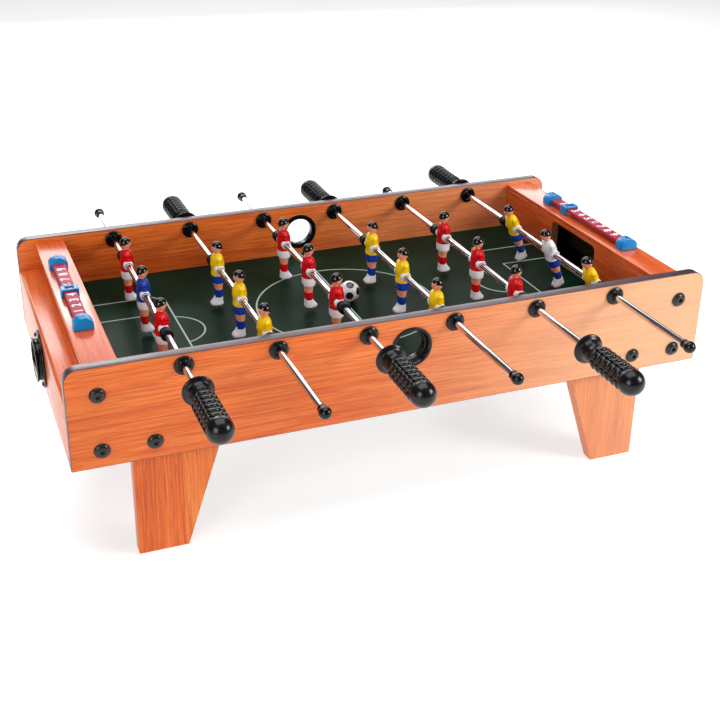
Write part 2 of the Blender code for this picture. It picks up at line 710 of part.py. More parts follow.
def score_slider(name, end, rest):
    """The marker that slides along the counter's bar, open below and with a window over one number."""
    inner = SCORE_BAR_WIDTH / 2 + GAP
    outer = inner + SLIDER_WALL
    base = GAP
    ceiling = SCORE_BAR_TOP - SHELF_TOP + GAP
    top = ceiling + SLIDER_WALL
    section = [
        (-outer, base),
        (-inner, base),
        (-inner, ceiling),
        (inner, ceiling),
        (inner, base),
        (outer, base),
        (outer, top),
        (-outer, top),
    ]
    body = solid_from(outline(name, [section], SLIDER_LENGTH))
    half_x = SLIDER_WINDOW_WIDTH / 2
    half_y = SLIDER_WINDOW_LENGTH / 2
    window = box(f"{name}_window", (-half_x, ceiling - GAP, -half_y), (half_x, top + GAP, half_y))
    combine(body, "DIFFERENCE", cutter(window))
    spot = (end * SCORE_MIDDLE, rest, SHELF_TOP)
    return place(body, BLUE, spot, (math.pi / 2, 0.0, 0.0))


def ball():
    def build(shape):
        bmesh.ops.create_uvsphere(shape, u_segments=MEDIUM, v_segments=COARSE, radius=BALL_RADIUS)

    return place(
        mesh_object("ball", build, smooth=True),
        BALL_WHITE,
        (BALL_X, BALL_Y, PITCH_HEIGHT + GAP + BALL_RADIUS),
    )


def build_box():
    for label, side in (("front", -1), ("back", 1)):
        side_board(f"{label}_side_board", side)
    for label, end in (("left", -1), ("right", 1)):
        goal_panel(f"{label}_goal_panel", end)
        end_box(f"{label}_end_box", end)
        ball_return_cup(f"{label}_ball_return_cup", end)
        score_rail(f"{label}_score_rail", end)
        score_slider(f"{label}_score_slider", end, SLIDER_REST[label])
        for place_name, side in (("front", -1), ("back", 1)):
            leg(f"leg_{place_name}_{label}", end, side)
    playfield()


def build_rods():
    pattern = player_mesh()
    for rod in range(1, ROD_COUNT + 1):
        axis = rod_axis(rod)
        side = handle_side(rod)
        rod_body(f"rod_{rod}", side, axis)
        handle(f"rod_{rod}_handle", side, axis)
        players(rod, axis, pattern)
        for label, face in (("front", -1), ("back", 1)):
            bushing(f"bushing_{rod}_{label}", rod, face)


build_box()
build_rods()
ball()
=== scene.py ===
import json
import math

import bmesh
import bpy
import numpy as np
from mathutils import Matrix, Vector


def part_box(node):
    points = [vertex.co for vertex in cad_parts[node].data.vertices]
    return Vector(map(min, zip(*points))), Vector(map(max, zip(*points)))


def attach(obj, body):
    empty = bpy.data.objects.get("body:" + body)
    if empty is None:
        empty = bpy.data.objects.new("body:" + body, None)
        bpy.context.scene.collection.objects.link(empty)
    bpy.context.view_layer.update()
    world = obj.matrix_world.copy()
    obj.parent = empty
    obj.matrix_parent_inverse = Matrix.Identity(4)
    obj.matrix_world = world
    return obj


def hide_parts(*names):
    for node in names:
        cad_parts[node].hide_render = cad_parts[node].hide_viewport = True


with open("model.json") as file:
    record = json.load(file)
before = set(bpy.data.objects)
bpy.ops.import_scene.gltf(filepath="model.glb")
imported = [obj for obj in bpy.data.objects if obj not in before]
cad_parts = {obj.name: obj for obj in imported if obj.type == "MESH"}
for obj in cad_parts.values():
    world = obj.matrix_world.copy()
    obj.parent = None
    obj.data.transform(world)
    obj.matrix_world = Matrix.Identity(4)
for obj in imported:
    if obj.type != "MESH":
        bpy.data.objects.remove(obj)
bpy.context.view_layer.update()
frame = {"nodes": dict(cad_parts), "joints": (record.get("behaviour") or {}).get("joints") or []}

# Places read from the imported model, in metres.
BOARD_LOW, BOARD_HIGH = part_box("front_side_board")
PITCH_LOW, PITCH_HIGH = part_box("playfield")
MIDDLE_Y = (PITCH_LOW.y + PITCH_HIGH.y) / 2
PITCH_TOP = PITCH_HIGH.z
HALF_LENGTH = BOARD_HIGH.x
BOARD_TOP = BOARD_HIGH.z
BOARD_BOTTOM = BOARD_LOW.z
JOINTS = {joint["name"]: joint for joint in frame["joints"]}

# Sizes of the real pieces, in metres.
GAP = 0.0003
BOARD_THICKNESS = 0.012
INNER_FACE = PITCH_HIGH.y - MIDDLE_Y + GAP
OUTER_FACE = INNER_FACE + BOARD_THICKNESS
CORNER = 0.014
ENTRY_Z = 0.189
ENTRY_BORE = 0.0185
ENTRY_RIM = 0.022
GOAL_HALF = 0.048
GOAL_TOP = 0.208
GOAL_CORNER = 0.006
PANEL_IN = PITCH_HIGH.x + GAP
PANEL_THICKNESS = 0.009
SHELF_THICKNESS = 0.005
SHELF_OUT = PANEL_IN + 0.0335
SHELF_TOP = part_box("left_goal_panel")[1].z
RISER_THICKNESS = 0.004
RISER_OUT = SHELF_OUT - 0.010
WALL_INNER = HALF_LENGTH - BOARD_THICKNESS
LEDGE_TOP = 0.184
LEDGE_THICKNESS = 0.006
LEDGE_ROUNDING = 0.004
FLOOR_TOP = 0.130
FLOOR_THICKNESS = 0.004
LEG_TOP_WIDTH = 0.102
LEG_FOOT_WIDTH = 0.051
RETURN_Z = 0.150
RETURN_BORE = 0.020
RETURN_FLANGE = 0.031
RETURN_LIP_DROP = 0.008
BOLT_END_INSET = 0.030
BOLT_SPACING = 0.051
BOLT_LOW = 0.018
BOLT_HIGH = 0.077
ROD_RADIUS = 0.0035
ROD_TRAVEL = 0.049
CAP_RADIUS = 0.006
BUSHING_FLANGE = 0.0033
STOP_RADIUS = 0.0065
STOP_LENGTH = 0.009
STOP_CLEARANCE = 0.0015
STOP_OUTER = INNER_FACE - BUSHING_FLANGE - ROD_TRAVEL - STOP_CLEARANCE
GRIP_RADIUS = 0.0127
COUNTER_HALF = 0.082
COUNTER_PITCH = 0.0142
BLOCK_HALF_WIDTH = 0.010
BLOCK_HEIGHT = 0.013
# How far a rod's players are turned from upright at rest, in degrees.
TILTS = {6: 21.0}


# Meshes: a shape gathers grids of points, and a piece is made from it.
class Shape:
    """Points and faces of one piece, with the number of the finish of each face."""

    def __init__(self):
        self.points, self.faces, self.finish, self.count = [], [], [], 0

    def grid(self, points, finish=0, closed=False, caps=False):
        """Joins rows of points, each a closed ring. finish is one number, or one for each band of faces."""
        points = np.asarray(points, float)
        rows, around = points.shape[:2]
        r = np.arange(rows if closed else rows - 1)[:, None]
        c = np.arange(around)[None, :]
        after = (c + 1) % around
        below = (r + 1) % rows * around
        quads = np.stack([r * around + c, r * around + after, below + after, below + c], -1) + self.count
        bands = np.broadcast_to(np.asarray(finish).reshape(-1, 1), (len(r), around))
        self.faces += quads.reshape(-1, 4).tolist()
        self.finish += bands.reshape(-1).tolist()
        if caps:
            first, last = c[0, ::-1] + self.count, c[0] + self.count + (rows - 1) * around
            self.faces += [first.tolist(), last.tolist()]
            self.finish += [int(bands[0, 0]), int(bands[-1, 0])]
        self.points.append(points.reshape(-1, 3))
        self.count += rows * around
        return self

    def moved(self, matrix):
        """A copy carried to another place."""
        m = np.array(matrix, float)
        other = Shape()
        other.points = [np.concatenate(self.points) @ m[:3, :3].T + m[:3, 3]]
        other.faces, other.finish, other.count = list(self.faces), list(self.finish), self.count
        return other

    def join(self, other):
        """Takes in another shape's points and faces."""
        self.points += other.points
        self.faces += [[i + self.count for i in f] for f in other.faces]
        self.finish += other.finish
        self.count += other.count
        return self


def piece(name, shape, finishes, body, replaces=(), crease=32):
    """Makes a piece from a shape: seams merged, normals outward, smooth up to the crease angle."""
    mesh = bpy.data.meshes.new(name)
    mesh.from_pydata(np.concatenate(shape.points).tolist(), [], shape.faces)
    for finish in finishes:
        mesh.materials.append(finish)
    mesh.polygons.foreach_set("material_index", np.array(shape.finish, np.int32))
    work = bmesh_of(mesh)
    work.to_mesh(mesh)
    work.free()
    mesh.polygons.foreach_set("use_smooth", np.ones(len(mesh.polygons), bool))
    mesh.set_sharp_from_angle(angle=math.radians(crease))
    mesh.update()
    obj = bpy.data.objects.new(name, mesh)
    bpy.context.scene.collection.objects.link(obj)
    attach(obj, body)
    if replaces:
        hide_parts(*replaces)
    return obj


def bmesh_of(mesh):
    """The mesh with its doubles merged and its faces turned outward."""
    work = bmesh.new()
    work.from_mesh(mesh)
    bmesh.ops.remove_doubles(work, verts=work.verts, dist=2e-7)
    bmesh.ops.recalc_face_normals(work, faces=work.faces)
    return work


def soften(profile, radius, closed=False, steps=5):
    """Rounds each corner of a line of points with a parabola that starts and ends one radius away."""
    p = np.asarray(profile, float)
    before, after = np.roll(p, 1, 0) - p, np.roll(p, -1, 0) - p
    reach = [np.linalg.norm(v, axis=1, keepdims=True) for v in (before, after)]
    cut = np.minimum(radius, 0.48 * np.minimum(*reach))
    start, end = p + before / reach[0] * cut, p + after / reach[1] * cut
    t = np.linspace(0, 1, steps)[None, :, None]
    bend = (1 - t) ** 2 * start[:, None] + 2 * t * (1 - t) * p[:, None] + t**2 * end[:, None]
    if closed:
        return bend.reshape(-1, 2)
    return np.concatenate([p[:1], bend[1:-1].reshape(-1, 2), p[-1:]])


def turned(shape, profile, origin, axis, around=48, finish=0, closed=False):
    """A turned piece: ring i is origin + height i * axis + radius i * (cos t * side + sin t * across)."""
    profile = np.asarray(profile, float)
    axis = np.asarray(axis, float)
    side = np.cross(axis, (0.3, 0.2, 1.0) if abs(axis[2]) < 0.9 else (1.0, 0.0, 0.0))
    side /= np.linalg.norm(side)
    across = np.cross(axis, side)
    t = np.arange(around) / around * 2 * math.pi
    ring = np.cos(t)[:, None] * side + np.sin(t)[:, None] * across
    points = np.asarray(origin) + profile[:, 1, None, None] * axis + profile[:, 0, None, None] * ring
    return shape.grid(points, finish, closed)


def inset(outline, distance):
    """The outline moved inward: each corner goes along the bisector of its two edges' normals."""
    edge = np.roll(outline, -1, 0) - outline
    edge /= np.linalg.norm(edge, axis=1, keepdims=True)
    normal = np.stack([edge[:, 1], -edge[:, 0]], 1)
    last = np.roll(normal, 1, 0)
    both = (normal + last) / (1 + (normal * last).sum(1, keepdims=True))
    return outline - distance * both


def rays(outline, center, count):
    """The outline seen from a point in it: where rays at even angles, and one at each corner, cross it."""
    spokes = outline - center
    even = np.linspace(-math.pi, math.pi, count, endpoint=False)
    angles = np.unique(np.round(np.concatenate([even, np.arctan2(spokes[:, 1], spokes[:, 0])]), 5))
    ray = np.stack([np.cos(angles), np.sin(angles)], 1)[:, None]
    a, e = spokes[None], (np.roll(spokes, -1, 0) - spokes)[None]
    cross = ray[..., 0] * e[..., 1] - ray[..., 1] * e[..., 0]
    cross = np.where(abs(cross) < 1e-12, 1e-12, cross)
    along = (a[..., 0] * e[..., 1] - a[..., 1] * e[..., 0]) / cross
    share = (a[..., 0] * ray[..., 1] - a[..., 1] * ray[..., 0]) / cross
    along = np.where((along > 0) & (share > -1e-6) & (share < 1 + 1e-6), along, np.inf)
    return center + along.min(1)[:, None] * ray[:, 0], angles


def plate(shape, outline, low, high, axes, hole=None, bevel=0.0006, finish=(0, 0, 0)):
    """A board: its outline at each depth, drawn in at the faces by a quarter-round bevel.
    A hole is (center, outline or radius); the faces then run straight from it to the board's outline.
    axes says which of x, y, z the outline's two numbers and the depth are. finish is for face, edge and hole."""
    face, edge, wall = finish
    turn = np.linspace(0, math.pi / 2, 4)
    cuts, drops = bevel * (1 - np.sin(turn)), bevel * (1 - np.cos(turn))
    if hole is not None:
        center, inner = hole
        outline, angles = rays(outline, np.asarray(center), 160)
        ray = np.stack([np.cos(angles), np.sin(angles)], 1)
        if np.ndim(inner):
            spots, seen = rays(inner, np.asarray(center), 160)
            reach = np.linalg.norm(spots - center, axis=1)
            inner = np.interp(angles, seen, reach, period=2 * math.pi)[:, None]
        rim = center + ray * inner
    rows = [(inset(outline, c), high - d) for c, d in zip(cuts, drops)]
    rows += [(inset(outline, c), low + d) for c, d in zip(cuts[::-1], drops[::-1])]
    bands = [edge] * (len(rows) - 1)
    if hole is not None:
        rows += [(rim, low), (rim, high)]
        bands += [face, wall, face]
    levels = np.stack([np.concatenate([ring, np.full((len(ring), 1), depth)], 1) for ring, depth in rows])
    points = np.empty_like(levels)
    for i, name in enumerate(axes):
        points[..., "xyz".index(name)] = levels[..., i]
    return shape.grid(points, bands, closed=hole is not None, caps=hole is None)


def arc(center, radius, start, end, steps=8):
    """Points of an arc, with angles in degrees."""
    t = np.radians(np.linspace(start, end, steps + 1))
    return np.stack([center[0] + radius * np.cos(t), center[1] + radius * np.sin(t)], 1)


def round_box(low, high, radius, steps=6):
    """A rectangle with round corners."""
    (x0, y0), (x1, y1) = np.add(low, radius), np.subtract(high, radius)
    corners = (((x1, y1), 0), ((x0, y1), 90), ((x0, y0), 180), ((x1, y0), 270))
    return np.concatenate([arc(c, radius, a, a + 90, steps) for c, a in corners])


def flowing(t, stops):
    """Smooth values between stops of (place, values...): cubic pieces with the slopes of their neighbours."""
    stops = np.asarray(stops, float)
    x, y = stops[:, 0], stops[:, 1:]
    slope = np.gradient(y, x, axis=0)
    i = np.clip(np.searchsorted(x, t, side="right") - 1, 0, len(x) - 2)
    h = (x[i + 1] - x[i])[:, None]
    s = (t - x[i])[:, None] / h
    rise = (1 + 2 * s) * (1 - s) ** 2 * y[i] + s**2 * (3 - 2 * s) * y[i + 1]
    return rise + h * (s * (1 - s) ** 2 * slope[i] + s**2 * (s - 1) * slope[i + 1])


def limb(shape, stops, finish=0, rows=14, around=28, power=2.0, cleft=0.0):
    """A moulded part of a figure. Stops are (height, half depth, half width, middle x, middle y).
    Each ring is x = depth * |cos|^(2/power), y = width * |sin|^(2/power), signed, and a cleft draws x in near y = 0."""
    stops = np.asarray(stops, float)
    z = np.linspace(stops[0, 0], stops[-1, 0], rows)
    depth, width, mx, my = flowing(z, stops).T
    t = np.arange(around) / around * 2 * math.pi
    cos, sin = np.cos(t), np.sin(t)
    x = np.sign(cos) * abs(cos) ** (2 / power) * depth[:, None]
    y = np.sign(sin) * abs(sin) ** (2 / power) * width[:, None]
    x = x * (1 - cleft * np.exp(-((y / 1.5) ** 2)))
    points = np.stack([x + mx[:, None], y + my[:, None], np.broadcast_to(z[:, None], x.shape)], -1)
    return shape.grid(points, finish, caps=True)


def egg(shape, center, radii, finish=0, rows=12, around=20, swell=None):
    """An ellipsoid: center + radii * (sin p cos t, sin p sin t, cos p), pushed out along x by swell(y, z)."""
    p = np.linspace(0, math.pi, rows + 1)[:, None]
    t = (np.arange(around) / around * 2 * math.pi)[None, :]
    unit = np.stack([np.sin(p) * np.cos(t), np.sin(p) * np.sin(t), np.cos(p) + 0 * t], -1)
    points = unit * radii
    if swell is not None:
        points[..., 0] += swell(points[..., 1], points[..., 2]) * np.clip(unit[..., 0] * 3, 0, 1)
    return shape.grid(points + np.asarray(center), finish)


# Finishes.
class Wire:
    """A value on its way through a finish. Arithmetic on it adds Math nodes."""

    def __init__(self, paint, socket):
        self.paint, self.socket = paint, socket

    def math(self, operation, *values):
        return self.paint.node("ShaderNodeMath", {"operation": operation}, dict(enumerate(values)))

    def __add__(self, other):
        return self.math("ADD", self, other)

    __radd__ = __add__

    def __sub__(self, other):
        return self.math("SUBTRACT", self, other)

    def __rsub__(self, other):
        return self.math("SUBTRACT", other, self)

    def __mul__(self, other):
        return self.math("MULTIPLY", self, other)

    __rmul__ = __mul__

    def __truediv__(self, other):
        return self.math("DIVIDE", self, other)

    def __pow__(self, other):
        return self.math("POWER", self, other)

    def __abs__(self):
        return self.math("ABSOLUTE", self)

    def most(self, other):
        return self.math("MAXIMUM", self, other)

    def least(self, other):
        return self.math("MINIMUM", self, other)

    def wave(self):
        return self.math("SINE", self)

    def between(self, low, high, to_low=0.0, to_high=1.0):
        """Goes smoothly from to_low to to_high as this goes from low to high."""
        settings = {"interpolation_type": "SMOOTHSTEP", "clamp": True}
        sockets = {0: self, 1: low, 2: high, 3: to_low, 4: to_high}
        return self.paint.node("ShaderNodeMapRange", settings, sockets)


class Paint:
    """One finish: a Principled shader, with nodes added by node() and joined to it by its keyword arguments."""

    def __init__(self, name, **fixed):
        self.material = bpy.data.materials.new(name)
        self.material.use_nodes = True
        self.tree = self.material.node_tree
        self.shader = self.tree.nodes["Principled BSDF"]
        for socket, value in fixed.items():
            self.put(self.shader.inputs[socket.replace("_", " ")], value)
        self.place = self.node("ShaderNodeTexCoord", {}, {}, "Object")
        self.x, self.y, self.z = (self.node("ShaderNodeSeparateXYZ", {}, {0: self.place}, i) for i in range(3))

    def put(self, socket, value):
        if isinstance(value, Wire):
            self.tree.links.new(value.socket, socket)
        elif isinstance(value, tuple) and len(value) == 3 and socket.type == "RGBA":
            socket.default_value = (*value, 1.0)
        else:
            socket.default_value = value

    def node(self, kind, settings, sockets, out=0):
        """Any node: its type, its settings (a ramp's stops among them), its sockets' values or links, its output."""
        made = self.tree.nodes.new(kind)
        for name, value in settings.items():
            if name == "stops":
                ramp = made.color_ramp.elements
                while len(ramp) < len(value):
                    ramp.new(0.5)
                for element, (place, color) in zip(ramp, value):
                    element.position, element.color = place, (*color, 1.0)
            else:
                setattr(made, name, value)
        for name, value in sockets.items():
            self.put(made.inputs[name], value)
        return Wire(self, made.outputs[out])

    def vector(self, x, y, z):
        return self.node("ShaderNodeCombineXYZ", {}, {0: x, 1: y, 2: z})

    def noise(self, where, scale=1.0, detail=2.0, rough=0.5, twist=0.0):
        sockets = {"Vector": where, "Scale": scale, "Detail": detail, "Roughness": rough, "Distortion": twist}
        return self.node("ShaderNodeTexNoise", {}, sockets)

    def ramp(self, value, stops):
        return self.node("ShaderNodeValToRGB", {"stops": stops}, {0: value})

    def mix(self, share, first, second, blend="MIX"):
        sockets = {0: share, 6: first, 7: second}
        return self.node("ShaderNodeMix", {"data_type": "RGBA", "blend_type": blend}, sockets, 2)

    def bump(self, height, strength, distance=0.001):
        return self.node("ShaderNodeBump", {}, {"Height": height, "Strength": strength, "Distance": distance})

    def done(self, **links):
        for socket, value in links.items():
            self.put(self.shader.inputs[socket.replace("_", " ")], value)
        return self.material


def srgb(r, g, b):
    """A colour as a paint chart gives it, from 0 to 255, as light."""
    c = np.array([r, g, b]) / 255
    return tuple(float(v) for v in np.where(c <= 0.04045, c / 12.92, ((c + 0.055) / 1.055) ** 2.4))


def cherry(name, along, light, middle, dark, gloss=0.3, flames=1.0, pale=0.0, shade_inside=False, **fixed):
    """Cherry laminate, with its grain along x, y or z: thin dark lines where a noise bends even lines, over soft
    bands of tone, fine streaks and pores, all drawn out along the grain. flames is how strong the dark lines are,
    and pale how strongly a painted highlight, a pale peach glare, fades the wood towards +x, most on the outer
    front face. The last switch paints the inside of the box behind the goal black, as painted shade."""
    p = Paint(name, Coat_Roughness=0.12, Specular_IOR_Level=0.3, **fixed)
    places = {"x": (p.x, p.z, p.y), "y": (p.y, p.x, p.z), "z": (p.z, p.x, p.y)}
    a, b, c = places[along]
    bend = p.noise(p.vector(a * 6.5, b * 20.0, c * 20.0), 1.0, 3.0, 0.5)
    lines = ((b + c * 0.6) * 1150.0 + bend * 40.0).wave() * 0.5 + 0.5
    tone = p.noise(p.vector(a * 3.0, b * 34.0, c * 34.0), 1.0, 4.0, 0.6, 0.4)
    streak = p.noise(p.vector(a * 12.0, b * 560.0, c * 560.0), 1.0, 5.0, 0.7)
    dashes = p.noise(p.vector(a * 30.0, b * 700.0, c * 700.0), 1.0, 2.0, 0.6)
    pores = p.noise(p.vector(a * 80.0, b * 1700.0, c * 1700.0), 1.0, 2.0, 0.6)
    wood = p.ramp(tone * 0.4 + streak * 0.6, [(0.34, dark), (0.48, middle), (0.62, light)])
    wood = p.mix((lines ** 6.0) * tone.between(0.4, 0.6) * (0.34 * flames), wood, dark)
    wood = p.mix(dashes.between(0.58, 0.68) * 0.45, wood, tuple(v * 0.8 for v in dark))
    wood = p.mix(pores.between(0.58, 0.72) * 0.25, wood, tuple(v * 0.6 for v in dark))
    # Painted highlight: towards +x the wood fades to a pale peach glare, fully on the outer front face and at 0.4 of
    # that elsewhere.
    if pale:
        front = p.y.between(MIDDLE_Y - OUTER_FACE + 0.002, MIDDLE_Y - OUTER_FACE + 0.02, 1.0, 0.4)
        wood = p.mix(p.x.between(-0.1, 0.32) * front * pale, wood, srgb(224, 204, 166))
    # Painted shade: inside the box behind the goal, below the ledge and behind the riser, the wood is painted near
    # black.
    if shade_inside:
        def within(value, edge):
            return value.between(edge + 0.0004, edge + 0.0006, 1.0, 0.0)

        under = within(abs(p.x), WALL_INNER) * within(p.z, LEDGE_TOP - LEDGE_THICKNESS)
        behind = within(abs(p.x), RISER_OUT - RISER_THICKNESS)
        wood = p.mix(under.most(behind), wood, (0.004, 0.004, 0.004))
    rough = streak.between(0.3, 0.7, gloss - 0.04, gloss + 0.07)
    return p.done(Base_Color=wood, Roughness=rough, Normal=p.bump(pores * 0.5 + streak * 0.5, 0.10, 0.0002))


def moulded(name, color, rough=0.25, mottle=0.06, coat=0.3, skin=0.05, scale=900.0, **fixed):
    """Moulded or painted plastic: its colour a little uneven, fine orange-peel in its gloss and its surface."""
    p = Paint(name, **{"Coat_Weight": coat, "Coat_Roughness": 0.06, "Specular_IOR_Level": 0.35, **fixed})
    cloud = p.noise(p.place, 70.0, 3.0, 0.6)
    grain = p.noise(p.place, scale, 3.0, 0.55)
    darker, lighter = tuple(v * (1 - mottle) for v in color), tuple(min(1.0, v * (1 + mottle)) for v in color)
    shade = p.mix(cloud.between(0.3, 0.7), darker, lighter)
    worn = grain.between(0.35, 0.65, rough - 0.05, rough + 0.06)
    return p.done(Base_Color=shade, Roughness=worn, Normal=p.bump(grain, skin, 0.0002))


# Light, middle and dark tones of the boards, the goal panels and the end walls. The end walls' tones are set lighter
# than the boards' as painted light, so the ledge reads as lit.
BOARD_TONES = srgb(238, 136, 64), srgb(222, 104, 38), srgb(178, 64, 18)
PANEL_TONES = srgb(232, 120, 62), srgb(212, 88, 36), srgb(174, 58, 18)
LIT_WALL_TONES = srgb(246, 146, 84), srgb(236, 118, 58), srgb(196, 76, 30)
# Painted highlight: the side boards (pale 0.5) and the legs (pale 0.4) fade to a pale glare towards +x.
SIDE_WOOD = cherry("cherry_side_board", "x", *BOARD_TONES, 0.34, 1.0, 0.5, Coat_Weight=0.1)
END_WOOD = cherry("cherry_goal_panel", "y", *PANEL_TONES, 0.2, 0.7, Coat_Weight=0.6)
# Painted shade: the end walls' wood is painted black inside the box behind the goal.
WALL_WOOD = cherry("cherry_end_wall", "y", *LIT_WALL_TONES, 0.3, 0.7, 0.0, True, Coat_Weight=0.3)
LEG_WOOD = cherry("cherry_leg", "z", *BOARD_TONES, 0.36, 0.7, 0.4, Coat_Weight=0.1)


def edge_band():
    """The side boards' edge strip: dark purple-brown, with faint lengthwise drawing lines."""
    p = Paint("dark_edge_band", Coat_Weight=0.3, Coat_Roughness=0.2, Specular_IOR_Level=0.5)
    lines = p.noise(p.vector(p.x * 30.0, p.y * 900.0, p.z * 30.0), 1.0, 3.0, 0.6)
    cloud = p.noise(p.place, 26.0, 3.0, 0.6)
    color = p.mix(cloud.between(0.3, 0.7), srgb(58, 34, 42), srgb(82, 54, 64))
    rough = lines.between(0.3, 0.7, 0.28, 0.42)
    return p.done(Base_Color=color, Roughness=rough, Normal=p.bump(lines, 0.08, 0.0002))


def raw_edge():
    """Cut fibreboard inside the goal openings: brown, matt and speckled."""
    p = Paint("cut_fibreboard", Specular_IOR_Level=0.3)
    speck = p.noise(p.place, 1400.0, 3.0, 0.7)
    color = p.ramp(speck, [(0.3, srgb(110, 66, 34)), (0.7, srgb(168, 112, 66))])
    rough = speck.between(0.3, 0.7, 0.6, 0.8)
    return p.done(Base_Color=color, Roughness=rough, Normal=p.bump(speck, 0.3, 0.0003))


def pitch_print():
    """The pitch: dark green with printed lines, each drawn where the distance to its middle is under half its
    width: the box with cut corners and its arc, the goal area, the centre circle, halfway line and spot."""
    p = Paint("printed_pitch", Specular_IOR_Level=0.04)
    x, y = abs(p.x), abs(p.y - MIDDLE_Y)
    width, soft = 0.0009, 0.0004
    box_x, box_y, cut = 0.193, 0.094, 0.012
    area_x, area_y, goal_line = 0.225, 0.0467, 0.30
    arc_x, arc_radius, circle_radius, spot_radius = 0.203, 0.035, 0.103, 0.003
    corner_x, corner_y = box_x + cut, box_y - cut

    def line(distance, *limits):
        drawn = abs(distance).between(width - soft, width + soft, 1.0, 0.0)
        for limit in limits:
            drawn = drawn * limit.between(-soft, soft)
        return drawn

    def ring(cx, radius):
        return ((x - cx) ** 2.0 + y**2.0) ** 0.5 - radius

    marks = line(y - box_y, x - corner_x)
    marks = marks.most(line((x - box_x), corner_y - y))
    marks = marks.most(line(((x - box_x) - (y - corner_y)) * 0.7071, x - box_x, corner_x - x))
    marks = marks.most(line(y - area_y, x - area_x, goal_line - x))
    marks = marks.most(line(x - area_x, area_y - y))
    marks = marks.most(line(ring(arc_x, arc_radius), box_x - x))
    marks = marks.most(line(ring(0.0, circle_radius)))
    marks = marks.most(line(x))
    marks = marks.most(ring(0.0, spot_radius).between(0.0, 0.0006, 1.0, 0.0))
    cloud = p.noise(p.place, 9.0, 3.0, 0.6)
    weave = p.noise(p.place, 1100.0, 3.0, 0.6)
    green = p.mix(cloud.between(0.35, 0.7), srgb(8, 28, 19), srgb(11, 44, 29))
    green = p.mix(weave * 0.12, green, srgb(30, 74, 52))
    color = p.mix(marks * (0.86 + weave * 0.1), green, srgb(176, 190, 184))
    rough = weave.between(0.3, 0.7, 0.3, 0.42)
    return p.done(Base_Color=color, Roughness=rough, Normal=p.bump(weave, 0.06, 0.0002))


def chrome_plate():
    """Chromed steel with faint cloudy polish."""
    p = Paint("chromed_steel", Metallic=1.0)
    cloud = p.noise(p.place, 60.0, 3.0, 0.6)
    polish = p.noise(p.vector(p.x * 40.0, p.y * 160.0, p.z * 40.0), 1.0, 2.0, 0.5)
    color = p.mix(cloud, srgb(206, 204, 210), srgb(232, 228, 232))
    rough = polish.between(0.3, 0.7, 0.05, 0.10)
    return p.done(Base_Color=color, Roughness=rough, Normal=p.bump(polish, 0.004, 0.0001))


def ball_panels(center):
    """The ball's print: black panels round the twelve corners of an icosahedron, and thin seams where the middles
    of two white panels are equally near."""
    p = Paint("football_print", Coat_Weight=0.4, Coat_Roughness=0.1)
    golden = (1 + 5**0.5) / 2
    signs = [(a, b) for a in (-1, 1) for b in (-1, 1)]
    corners = [v for a, b in signs for v in ((0, a, b * golden), (a, b * golden, 0), (b * golden, 0, a))]
    thirds = [(a / golden, b * golden) for a, b in signs]
    faces = [v for a, b in thirds for v in ((0, a, b), (a, b, 0), (b, 0, a))]
    faces += [(a, b, c) for a, b in signs for c in (-1, 1)]
    turn = Matrix.Rotation(0.5, 3, "X") @ Matrix.Rotation(0.9, 3, "Y")
    away = p.node("ShaderNodeVectorMath", {"operation": "SUBTRACT"}, {0: p.place, 1: center})
    unit = p.node("ShaderNodeVectorMath", {"operation": "NORMALIZE"}, {0: away})

    def nearness(directions):
        found = []
        for direction in directions:
            sockets = {0: unit, 1: tuple((turn @ Vector(direction)).normalized())}
            found.append(p.node("ShaderNodeVectorMath", {"operation": "DOT_PRODUCT"}, sockets, "Value"))
        return found

    dark = nearness(corners)
    best = dark[0]
    for other in dark[1:]:
        best = best.most(other)
    pale = nearness(faces)
    first, second = pale[0].most(pale[1]), pale[0].least(pale[1])
    for other in pale[2:]:
        second = second.most(first.least(other))
        first = first.most(other)
    seam = (first - second).between(0.006, 0.016, 1.0, 0.0)
    patch = best.between(0.925, 0.935)
    cloud = p.noise(p.place, 300.0, 3.0, 0.6)
    white = p.mix(cloud, srgb(226, 226, 230), srgb(240, 240, 242))
    color = p.mix(seam * 0.55, white, srgb(120, 120, 126))
    color = p.mix(patch, color, srgb(14, 14, 16))
    height = (1.0 - seam) * 0.8 + cloud * 0.1
    rough = cloud.between(0.3, 0.7, 0.22, 0.34)
    return p.done(Base_Color=color, Roughness=rough, Normal=p.bump(height, 0.4, 0.0002))


BAND = edge_band()
FIBRE = raw_edge()
PITCH = pitch_print()
CHROME = chrome_plate()
JET = (0.004, 0.004, 0.005)
BLACK = moulded("glossy_black_plastic", JET, 0.2, 0.2, 0.12, 0.05, Specular_IOR_Level=0.28)
GRIP = moulded("black_grip_rubber", JET, 0.24, 0.2, 0.15, 0.16, 1400.0, Specular_IOR_Level=0.3)
STOP_BLACK = (0.005, 0.005, 0.006)
RUBBER = moulded("black_stop_rubber", STOP_BLACK, 0.36, 0.2, 0.0, 0.2, 1200.0, Specular_IOR_Level=0.3)
BOLT = moulded("blackened_bolt", (0.012, 0.011, 0.012), 0.3, 0.2, 0.2, 0.12, 1600.0)
